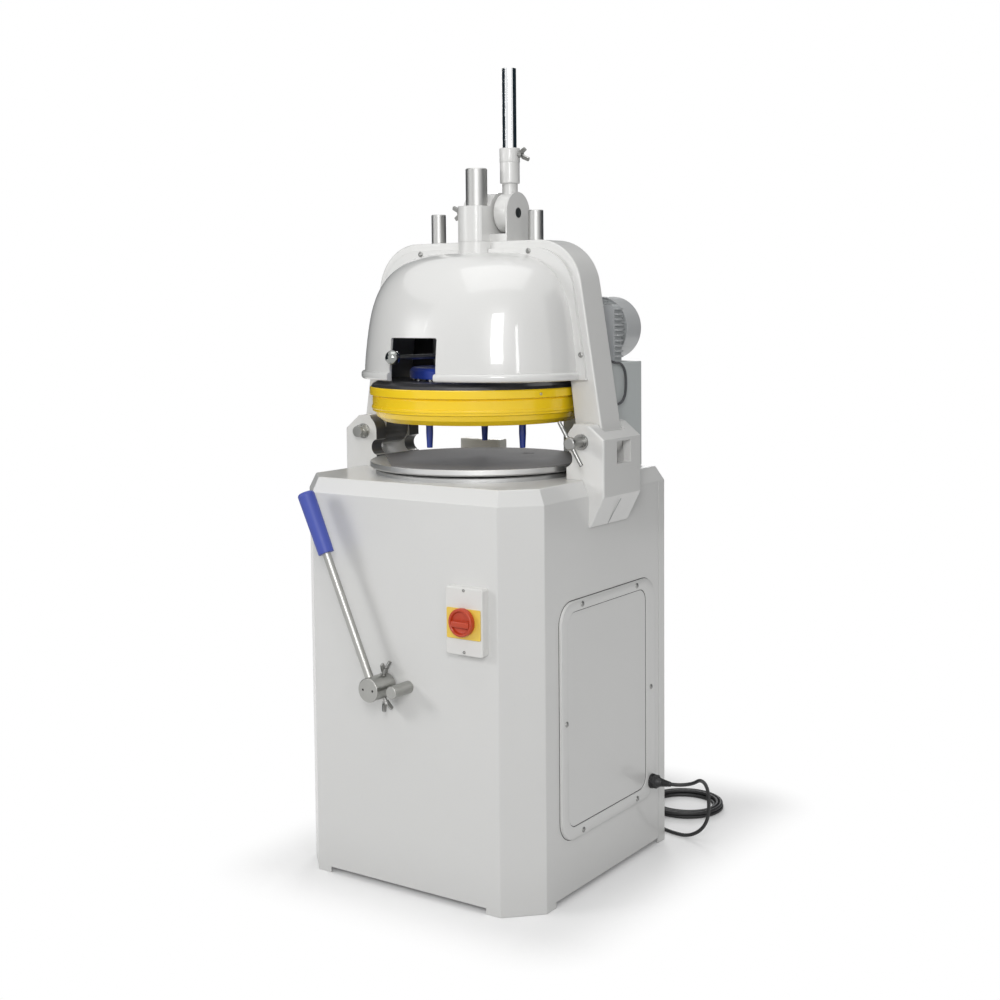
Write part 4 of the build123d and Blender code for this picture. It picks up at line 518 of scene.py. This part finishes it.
# Mains cord: out of the gland, down to the floor, a loose coil, then the plug
CORD_ROUTE = ((334, 208, 154), (358.3, 208, 154), (379.7, 220.3, 154), (392, 241.7, 154),
              (392, 270.1, 154), (392, 298, 137.9), (392, 314, 110.1), (392, 314, 55.2),
              (373.2, 314, 22.7), (340.8, 314, 4), (304, 315, 4), (268, 327, 4), (234, 348, 4),
              (202, 377, 4), (174, 411, 4), (155, 447, 4), (146, 476, 4), (146, 497, 4))
TAIL_ROUTE = ((146, 497, 12.7), (146, 520, 12.7), (142, 545, 9), (131, 568, 5), (110, 585, 6),
              (84, 592, 14), (54, 592, 14))
COIL_CENTRE = (238, 497)
COIL_R = 92.0
COIL_STEP = 9.0
COIL_TURNS = 5
COIL_POINTS = 24
COIL_LAYER = 8.7
COIL_REST = 4.02

# Motor lead: from the gear case in a short loop into the stand
LEAD_ROUTE = ((205, 190, 1120), (205, 150.9, 1120), (211.1, 135.1, 1113.2), (221.4, 126, 1101.8),
              (233.6, 126, 1088.2), (243.9, 135.1, 1076.8), (250, 150.9, 1070), (250, 171.6, 1070),
              (250, 188.4, 1060.4), (250, 198, 1043.6), (250, 198, 1007), (250, 188.4, 990.2),
              (250, 171.6, 980.6), (250, 150, 980.6))


def coil_points():
    """Turns that draw in on the floor, climb, and draw out again on top."""
    points = []
    for count in range(COIL_TURNS * COIL_POINTS + 1):
        turn = count / COIL_POINTS
        reach = COIL_R - COIL_STEP * min(turn, COIL_TURNS - turn)
        climb = min(max((turn - COIL_TURNS / 2 + 0.25) / 0.5, 0), 1)
        climb = climb * climb * (3 - 2 * climb)
        angle = math.pi - 2 * math.pi * turn
        points.append((COIL_CENTRE[0] + reach * math.cos(angle),
                       COIL_CENTRE[1] + reach * math.sin(angle), COIL_REST + COIL_LAYER * climb))
    return points


def cord_curve(name, points, thick, finish):
    """A round cord on one smooth line along a route given in millimetres."""
    curve = bpy.data.curves.new(name, "CURVE")
    curve.dimensions = "3D"
    curve.bevel_depth = thick / 2 * MM
    curve.bevel_resolution = 5
    curve.use_fill_caps = True
    curve.resolution_u = 6
    spline = curve.splines.new("NURBS")
    spline.points.add(len(points) - 1)
    for knot, place in zip(spline.points, points):
        knot.co = (*mm(*place), 1)
    spline.order_u = 3
    spline.use_endpoint_u = True
    curve.materials.append(finish)
    cord = bpy.data.objects.new(name, curve)
    scene.collection.objects.link(cord)
    return cord


main_cord = cord_curve("mains_lead", CORD_ROUTE[:-1] + tuple(coil_points()) + TAIL_ROUTE[1:],
                       thick=8.0, finish=cord_rubber)
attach(main_cord, "base")
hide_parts("mains_cord", "cord_coil", "cord_tail")

drive_cord = cord_curve("drive_lead", LEAD_ROUTE, thick=6.0, finish=lead_braid)
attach(drive_cord, "base")
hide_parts("motor_lead")


# Ways of making pieces, all drawn in millimetres
def turned(bm, outline, steps):
    """Turns an outline of (radius, height) points about Z."""
    corners = [bm.verts.new((radius, 0, height)) for radius, height in outline]
    sides = [bm.edges.new(pair) for pair in zip(corners, corners[1:])]
    bmesh.ops.spin(bm, geom=corners + sides, cent=(0, 0, 0), axis=UP,
                   angle=2 * math.pi, steps=steps, use_merge=True)


def block(bm, size, place=(0, 0, 0)):
    """A box with its middle at a place."""
    corners = bmesh.ops.create_cube(bm, size=1.0)["verts"]
    bmesh.ops.scale(bm, vec=size, verts=corners)
    bmesh.ops.translate(bm, vec=place, verts=corners)
    return corners


def edges_at(corners):
    """The edges that meet at these corners, each once and in a fixed order."""
    return list(dict.fromkeys(edge for corner in corners for edge in corner.link_edges))


def round_off(bm, edges, width, steps):
    """Rounds edges off to this width."""
    bmesh.ops.bevel(bm, geom=list(edges), offset=width, offset_type="OFFSET", affect="EDGES",
                    segments=steps, profile=0.5, material=-1)


CORNER_STEPS = 8


def rounded_loop(bm, low, high, radius):
    """A rectangle with round corners in the YZ plane, as a closed loop of edges."""
    corners = [bm.verts.new((0, y, z)) for y, z in ((low[0], low[1]), (high[0], low[1]),
                                                    (high[0], high[1]), (low[0], high[1]))]
    bm.faces.new(corners)
    bmesh.ops.bevel(bm, geom=corners, offset=radius, offset_type="OFFSET", affect="VERTICES",
                    segments=CORNER_STEPS, profile=0.5, material=-1)
    face = [face for face in bm.faces if len(face.verts) > CORNER_STEPS][-1]
    loop = list(face.edges)
    bmesh.ops.delete(bm, geom=[face], context="FACES_ONLY")
    return loop


def draw_out(bm, faces, height):
    """Gives flat faces a thickness towards +X."""
    drawn = bmesh.ops.extrude_face_region(bm, geom=faces)["geom"]
    tops = [item for item in drawn if isinstance(item, bmesh.types.BMVert)]
    bmesh.ops.translate(bm, vec=(height, 0, 0), verts=tops)


def put(bm, place, way):
    """Moves what was drawn about Z so that Z points along way."""
    aim = Vector(way).to_track_quat("Z", "Y").to_matrix().to_4x4()
    bmesh.ops.transform(bm, matrix=Matrix.Translation(Vector(place)) @ aim, verts=bm.verts)


def linked(name, bm, finish):
    """Makes what was drawn an object of the scene."""
    mesh = bpy.data.meshes.new(name)
    bm.to_mesh(mesh)
    bm.free()
    mesh.materials.append(finish)
    made = bpy.data.objects.new(name, mesh)
    scene.collection.objects.link(made)
    return made


def finished(name, bm, finish, body, stands_for=(), angle=32):
    """Closes a piece, brings it to metres and gives it to its body."""
    bmesh.ops.remove_doubles(bm, verts=bm.verts, dist=0.002)
    bmesh.ops.recalc_face_normals(bm, faces=bm.faces)
    bmesh.ops.scale(bm, vec=(MM, MM, MM), verts=bm.verts)
    piece = linked(name, bm, finish)
    piece.data.shade_smooth()
    piece.data.set_sharp_from_angle(angle=math.radians(angle))
    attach(piece, body)
    if stands_for:
        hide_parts(*stands_for)


# Screw heads
WASHER_THICK = 0.9
KEY_DEPTH = 1.9
KEY_SINK = 0.15


def button_head(bm, radius, height, key, washer=0.0):
    """Domed screw head with a hexagon socket, on a washer where one is given."""
    foot = WASHER_THICK if washer else 0.0
    outline = [(key * 1.25, height), (radius * 0.72, height * 0.93), (radius * 0.92, height * 0.66),
               (radius, foot + 0.35 * (height - foot)), (radius, foot)]
    if washer:
        outline += [(washer - 0.2, foot), (washer, foot - 0.2), (washer, 0)]
    outline.append((0, 0))
    turned(bm, outline, steps=24)
    bmesh.ops.remove_doubles(bm, verts=bm.verts, dist=0.001)
    rim = [edge for edge in bm.edges if edge.is_boundary]
    floor = bmesh.ops.create_circle(bm, cap_ends=True, segments=6, radius=key)["verts"]
    bmesh.ops.translate(bm, vec=(0, 0, height - KEY_DEPTH), verts=floor)
    mouth = bmesh.ops.create_circle(bm, cap_ends=False, segments=6, radius=key)["verts"]
    bmesh.ops.translate(bm, vec=(0, 0, height - KEY_SINK), verts=mouth)
    floor_edges = edges_at(floor)
    mouth_edges = edges_at(mouth)
    bmesh.ops.bridge_loops(bm, edges=floor_edges + mouth_edges)
    bmesh.ops.subdivide_edges(bm, edges=mouth_edges, cuts=3)
    lip = [edge for edge in bm.edges
           if all(abs(vert.co.z - height + KEY_SINK) < 1e-4 and vert.co.xy.length < key * 1.05
                  for vert in edge.verts)]
    bmesh.ops.bridge_loops(bm, edges=lip + rim)


def screw_set(name, places, way, head, finish, body, stands_for=()):
    """Screw heads of one size as one piece, all facing one way."""
    whole = bpy.data.meshes.new(name + "_heads")
    gather = bmesh.new()
    for place in places:
        bm = bmesh.new()
        button_head(bm, **head)
        put(bm, place, way)
        bm.to_mesh(whole)
        bm.free()
        gather.from_mesh(whole)
    bpy.data.meshes.remove(whole)
    finished(name, gather, finish, body, stands_for)


PANEL_SCREW_X = 305.8
PANEL_SCREWS = ((-142, 364), (206, 364), (-80, 132), (144, 132), (-80, 596), (144, 596))
PANEL_HEAD = {"radius": 5.0, "height": 2.8, "key": 2.1, "washer": 6.0}
screw_set("panel_screw_heads", [(PANEL_SCREW_X, y, z) for y, z in PANEL_SCREWS], RIGHT, PANEL_HEAD,
          zinc_steel, "base", ["panel_screws"])

COVER_SCREW_Y = -15
COVER_SCREWS = ((-140, 1307), (140, 1307), (-266, 1093), (266, 1093))
COVER_HEAD = {"radius": 5.0, "height": 3.0, "key": 2.0, "washer": 6.0}
screw_set("cover_screw_heads", [(x, COVER_SCREW_Y, z) for x, z in COVER_SCREWS], FRONT, COVER_HEAD,
          zinc_steel, "head", ["cover_screws"])

# Access panel: a raised frame round its flat middle, each line given by corners and radius
PANEL_FACE = 303.6
FRAME_OUTER = ((-159.2, 122.8), (223.2, 605.2), 44.4)
FRAME_INNER = ((-135.7, 146.7), (185.5, 585.2), 28.0)
FRAME_RISE = 2.4

bm = bmesh.new()
frame_loops = rounded_loop(bm, *FRAME_OUTER) + rounded_loop(bm, *FRAME_INNER)
bmesh.ops.bridge_loops(bm, edges=frame_loops)
bmesh.ops.translate(bm, vec=(PANEL_FACE, 0, 0), verts=bm.verts)
draw_out(bm, list(bm.faces), FRAME_RISE)
bmesh.ops.recalc_face_normals(bm, faces=bm.faces)
rims = [edge for edge in bm.edges
        if all(vert.co.x > PANEL_FACE + FRAME_RISE / 2 for vert in edge.verts)
        and any(abs(face.normal.x) < 0.5 for face in edge.link_faces)]
round_off(bm, rims, width=0.9, steps=2)
finished("panel_frame", bm, sheet_paint, "base", angle=28)

# Dark strips, painted shade: thin lines for the shaded joint round the panel and the shaded inner edge of
# its frame
SEAM_SHADE_WIDE = 1.5
SEAM_SHADE_RISE = 0.7
SEAM_SHADE_LINES = ((299.6, (-160.0, 122.0), (224.0, 606.0), 45.0),
              (PANEL_FACE, (-134.2, 148.2), (184.0, 583.7), 26.5))

bm = bmesh.new()
for depth, low, high, radius in SEAM_SHADE_LINES:
    outside = [[side - SEAM_SHADE_WIDE for side in low], [side + SEAM_SHADE_WIDE for side in high]]
    strip = rounded_loop(bm, *outside, radius + SEAM_SHADE_WIDE) + rounded_loop(bm, low, high, radius)
    band = bmesh.ops.bridge_loops(bm, edges=strip)["faces"]
    corners = list({vert for face in band for vert in face.verts})
    bmesh.ops.translate(bm, vec=(depth, 0, 0), verts=corners)
    draw_out(bm, band, SEAM_SHADE_RISE)
finished("panel_seam_shade", bm, rubber_and_seam_shade, "base")

# Bracket toes: the seam where each toe was cast in two halves, drawn as a dark strip whose tone is
# painted shade for the seam's shadow line
SEAM_SIZE = (0.8, 1.8, 62.0)
SEAM_MIDDLE = (319.85, 26, 772.6)
TOE_LEAN = math.atan2(32, 55)

for name, side in (("toe_seam_right", 1), ("toe_seam_left", -1)):
    bm = bmesh.new()
    block(bm, SEAM_SIZE)
    round_off(bm, bm.edges, width=0.2, steps=2)
    lean = Matrix.Rotation(TOE_LEAN, 4, "Y")
    bmesh.ops.transform(bm, matrix=Matrix.Translation(SEAM_MIDDLE) @ lean, verts=bm.verts)
    bmesh.ops.scale(bm, vec=(side, 1, 1), verts=bm.verts)
    finished(name, bm, primer_and_seam_shade, "base")

# Main switch: a dished knob with a low finger bar, and the box's two screws
SWITCH_X = 168
SWITCH_Z = 583
KNOB_BACK = -298.4
BOX_FACE = -295.6
KNOB_OUTLINE = ((0, 6.0), (19.6, 6.0), (20.8, 6.6), (21.6, 8.4), (22.4, 11.2), (23.6, 12.2),
                (25.8, 12.2), (27.4, 11.2), (28.0, 9.4), (28.0, 1.2), (27.2, 0.2), (0, 0.2))
BAR_SIZE = (42.0, 12.0, 9.0)
BAR_MIDDLE = (0, -3.5, 9.0)
BOX_HEAD = {"radius": 3.2, "height": 2.2, "key": 1.4}
BOX_SCREWS = (61.5, -60.5)

bm = bmesh.new()
turned(bm, KNOB_OUTLINE, steps=72)
bar = block(bm, BAR_SIZE, BAR_MIDDLE)
round_off(bm, edges_at(bar), width=2.6, steps=4)
put(bm, (SWITCH_X, KNOB_BACK, SWITCH_Z), FRONT)
finished("dished_knob", bm, knob_red, "switch", ["switch_knob"])
screw_set("box_screws", [(SWITCH_X, BOX_FACE, SWITCH_Z + up) for up in BOX_SCREWS], FRONT, BOX_HEAD,
          zinc_steel, "base")

# Lever socket: a pressed collar round its mouth
COLLAR_OUTLINE = ((20.9, 0), (21.5, 0.7), (21.7, 1.6), (21.7, 29.0), (21.2, 30.3), (15.2, 30.6))
COLLAR_FOOT = (53.5, 48, 1497.2)

bm = bmesh.new()
turned(bm, COLLAR_OUTLINE, steps=64)
put(bm, COLLAR_FOOT, UP)
finished("socket_collar", bm, casting_paint, "press_lever")

# Gland: a ribbed, tapered sleeve where the cord leaves
SLEEVE_FOOT = (324, 208, 154)
SLEEVE_R = 9.0
SLEEVE_RIBS = 7
SLEEVE_FIRST = 3.4
SLEEVE_PITCH = 3.6
SLEEVE_TAPER = 0.58

outline = [(4.0, 0), (9.4, 0), (9.4, 3)]
for rib in range(SLEEVE_RIBS):
    foot = SLEEVE_FIRST + SLEEVE_PITCH * rib
    wide = SLEEVE_R - SLEEVE_TAPER * rib
    outline += [(wide - 1.0, foot), (wide - 1.0, foot + 1.2), (wide, foot + 1.6), (wide, foot + 3.0)]
outline += [(4.6, 29.5), (4.1, 30.0)]
bm = bmesh.new()
turned(bm, outline, steps=36)
put(bm, SLEEVE_FOOT, RIGHT)
finished("gland_sleeve", bm, rubber_and_seam_shade, "base")

# Motor lead: the fitting where it goes into the stand
FITTING_SIZE = (12.6, 12.6, 11.6)
FITTING_MIDDLE = (249.5, 144.6, 980.6)

bm = bmesh.new()
block(bm, FITTING_SIZE)
round_off(bm, bm.edges, width=1.6, steps=3)
bmesh.ops.translate(bm, vec=FITTING_MIDDLE, verts=bm.verts)
finished("lead_fitting", bm, rubber_and_seam_shade, "base")

# Gear case: cooling ribs on its outer side
CASE_RIBS = 10
CASE_RIB_SIZE = (7.0, 27.0, 4.2)
CASE_RIB_X = 229.0
CASE_RIB_Y = 206.0
CASE_RIB_LOW = 1082.0
CASE_RIB_PITCH = 11.4

bm = bmesh.new()
for rib in range(CASE_RIBS):
    block(bm, CASE_RIB_SIZE, (CASE_RIB_X, CASE_RIB_Y, CASE_RIB_LOW + CASE_RIB_PITCH * rib))
round_off(bm, bm.edges, width=1.0, steps=2)
finished("case_ribs", bm, motor_paint, "base")

# Ring: a bead round its middle and a set screw in the top band
BEAD_OUTLINE = ((225.5, 986.2), (228.2, 985.4), (228.9, 984.4), (228.9, 980.6), (228.2, 979.6),
                (225.5, 978.8))
RING_SCREW_R = 232.3
RING_SCREW_Z = 1016
RING_SCREW_ANGLE = -22
RING_HEAD = {"radius": 3.0, "height": 1.6, "key": 1.5}

bm = bmesh.new()
turned(bm, BEAD_OUTLINE, steps=160)
finished("ring_bead", bm, ring_enamel, "ram")
screw_set("ring_screw", [polar(RING_SCREW_R, RING_SCREW_ANGLE, RING_SCREW_Z)],
          polar(1, RING_SCREW_ANGLE, 0), RING_HEAD, cross_steel, "ram")

# Rear guards: sheet plates on the back of the arch, behind the window; their near-black finish is painted
# shade for the dark inside of the head
GUARD_SIZE = (136.0, 1.3, 84.0)
GUARD_X = 198.0
GUARD_Y = 73.8
GUARD_Z = 1086.0
GUARD_CORNER = 12.0
GUARD_BACK = 74.3
GUARD_SCREW_X = 250
GUARD_SCREWS = (1060, 1112)
GUARD_HEAD = {"radius": 4.2, "height": 2.4, "key": 1.7}

for name, side in (("guard_left", -1), ("guard_right", 1)):
    bm = bmesh.new()
    block(bm, GUARD_SIZE)
    through = [edge for edge in bm.edges if abs(edge.verts[0].co.y - edge.verts[1].co.y) > 1.0]
    round_off(bm, through, GUARD_CORNER, steps=6)
    bmesh.ops.translate(bm, vec=(side * GUARD_X, GUARD_Y, GUARD_Z), verts=bm.verts)
    finished(name, bm, guard_shade_black, "head")
    screw_set(name + "_screws", [(side * GUARD_SCREW_X, GUARD_BACK, z) for z in GUARD_SCREWS], BACK,
              GUARD_HEAD, zinc_steel, "head")

# Floor and light, in metres. The floor keeps the shadow near a box round the machine, each side
# of which is given by its middle and half its length, and is white further out
WHITE_LIGHT = (1.0, 1.0, 1.0)
SHADOW_BOX = ((0.02, 0.31), (0.15, 0.43))
SHADOW_REACH = 0.2
SHADOW_LIFT = 0.12
FLOOR_HALF = 14.0
FLOOR_DROP = 0.0006
ROOM_LIGHT = 0.36


def studio_floor():
    """A pale floor that the eye sees white, with the machine's shadow on it."""
    floor = Finish("studio_floor", None)
    seen = floor.seen()
    past = [floor.maths("ABSOLUTE", axis - middle) - half
            for axis, (middle, half) in zip(floor.axes(), SHADOW_BOX)]
    past_x, past_y = [floor.maths("MAXIMUM", side, 0.0) for side in past]
    reach = floor.maths("SQRT", past_x * past_x + past_y * past_y)
    share = floor.node("ShaderNodeMath", {"operation": "MULTIPLY", "use_clamp": True},
                       {0: seen, 1: floor.ease(reach, 0.0, SHADOW_REACH, SHADOW_LIFT, 1.0)})
    tone = floor.blend(seen, (0.62, 0.62, 0.62), (0.95, 0.95, 0.95))
    matt = floor.node("ShaderNodeBsdfDiffuse", {}, {"Color": tone})
    white = floor.node("ShaderNodeEmission", {}, {"Color": WHITE_LIGHT, "Strength": 1.0})
    both = floor.node("ShaderNodeMixShader", {}, {"Fac": share, 1: matt, 2: white})
    floor.node("ShaderNodeOutputMaterial", {}, {"Surface": both}, None)
    bm = bmesh.new()
    bmesh.ops.create_grid(bm, x_segments=2, y_segments=2, size=FLOOR_HALF)
    bmesh.ops.translate(bm, vec=(0, 0, -FLOOR_DROP), verts=bm.verts)
    linked("studio_floor", bm, floor.material)


studio_floor()

world = bpy.data.worlds.new("studio_room")
world.use_nodes = True
scene.world = world
room = Finish("studio_room", None, world.node_tree)
level = room.node("ShaderNodeMapRange", {"clamp": True},
                  {"Value": room.seen(), "To Min": ROOM_LIGHT, "To Max": 1.0}, "Result")
sky = room.node("ShaderNodeBackground", {}, {"Color": WHITE_LIGHT, "Strength": level})
room.node("ShaderNodeOutputWorld", {}, {"Surface": sky}, None)


def soft_box(name, place, aim, size, power):
    """A soft rectangular lamp, turned towards a place."""
    lamp = bpy.data.lights.new(name, "AREA")
    lamp.shape = "RECTANGLE"
    lamp.size, lamp.size_y = size
    lamp.energy = power
    box = bpy.data.objects.new(name, lamp)
    box.location = place
    box.rotation_euler = (Vector(aim) - Vector(place)).to_track_quat("-Z", "Y").to_euler()
    scene.collection.objects.link(box)


soft_box("key_box", place=(-2.4, -2.7, 2.0), aim=(0, 0, 0.9), size=(1.0, 1.0), power=34)
soft_box("fill_box", place=(2.0, -3.3, 2.3), aim=(0, 0, 0.9), size=(0.8, 1.7), power=56)
soft_box("top_box", place=(0.2, -0.4, 3.4), aim=(0, 0, 0.9), size=(2.0, 2.0), power=20)
soft_box("strip_far", place=(2.9, -2.3, 1.7), aim=(0, 0, 1.15), size=(0.2, 1.3), power=8)
soft_box("back_box", place=(-1.7, 3.3, 1.9), aim=(0, 0, 0.6), size=(1.2, 1.2), power=40)

SCREEN_R = 3.3
SCREEN_FOOT = 0.25
SCREEN_HEIGHT = 3.2


def dark_screen(name, start, sweep):
    """A dark curved screen that shows only in polished metal, placed by its angles about Z."""
    card = Finish(name, None)
    tone = card.blend(card.noise(1.5), (0.012, 0.02, 0.028), (0.028, 0.046, 0.058))
    matt = card.node("ShaderNodeBsdfDiffuse", {}, {"Color": tone})
    card.node("ShaderNodeOutputMaterial", {}, {"Surface": matt}, None)
    bm = bmesh.new()
    foot = polar(SCREEN_R, start, SCREEN_FOOT)
    ends = [bm.verts.new(foot), bm.verts.new(foot + Vector((0, 0, SCREEN_HEIGHT)))]
    bmesh.ops.spin(bm, geom=ends + [bm.edges.new(ends)], cent=(0, 0, 0), axis=UP,
                   angle=math.radians(sweep), steps=16)
    screen = linked(name, bm, card.material)
    screen.visible_camera = False
    screen.visible_diffuse = False
    screen.visible_shadow = False
    screen.visible_transmission = False


dark_screen("screen_right", start=4, sweep=116)
dark_screen("screen_left", start=130, sweep=106)
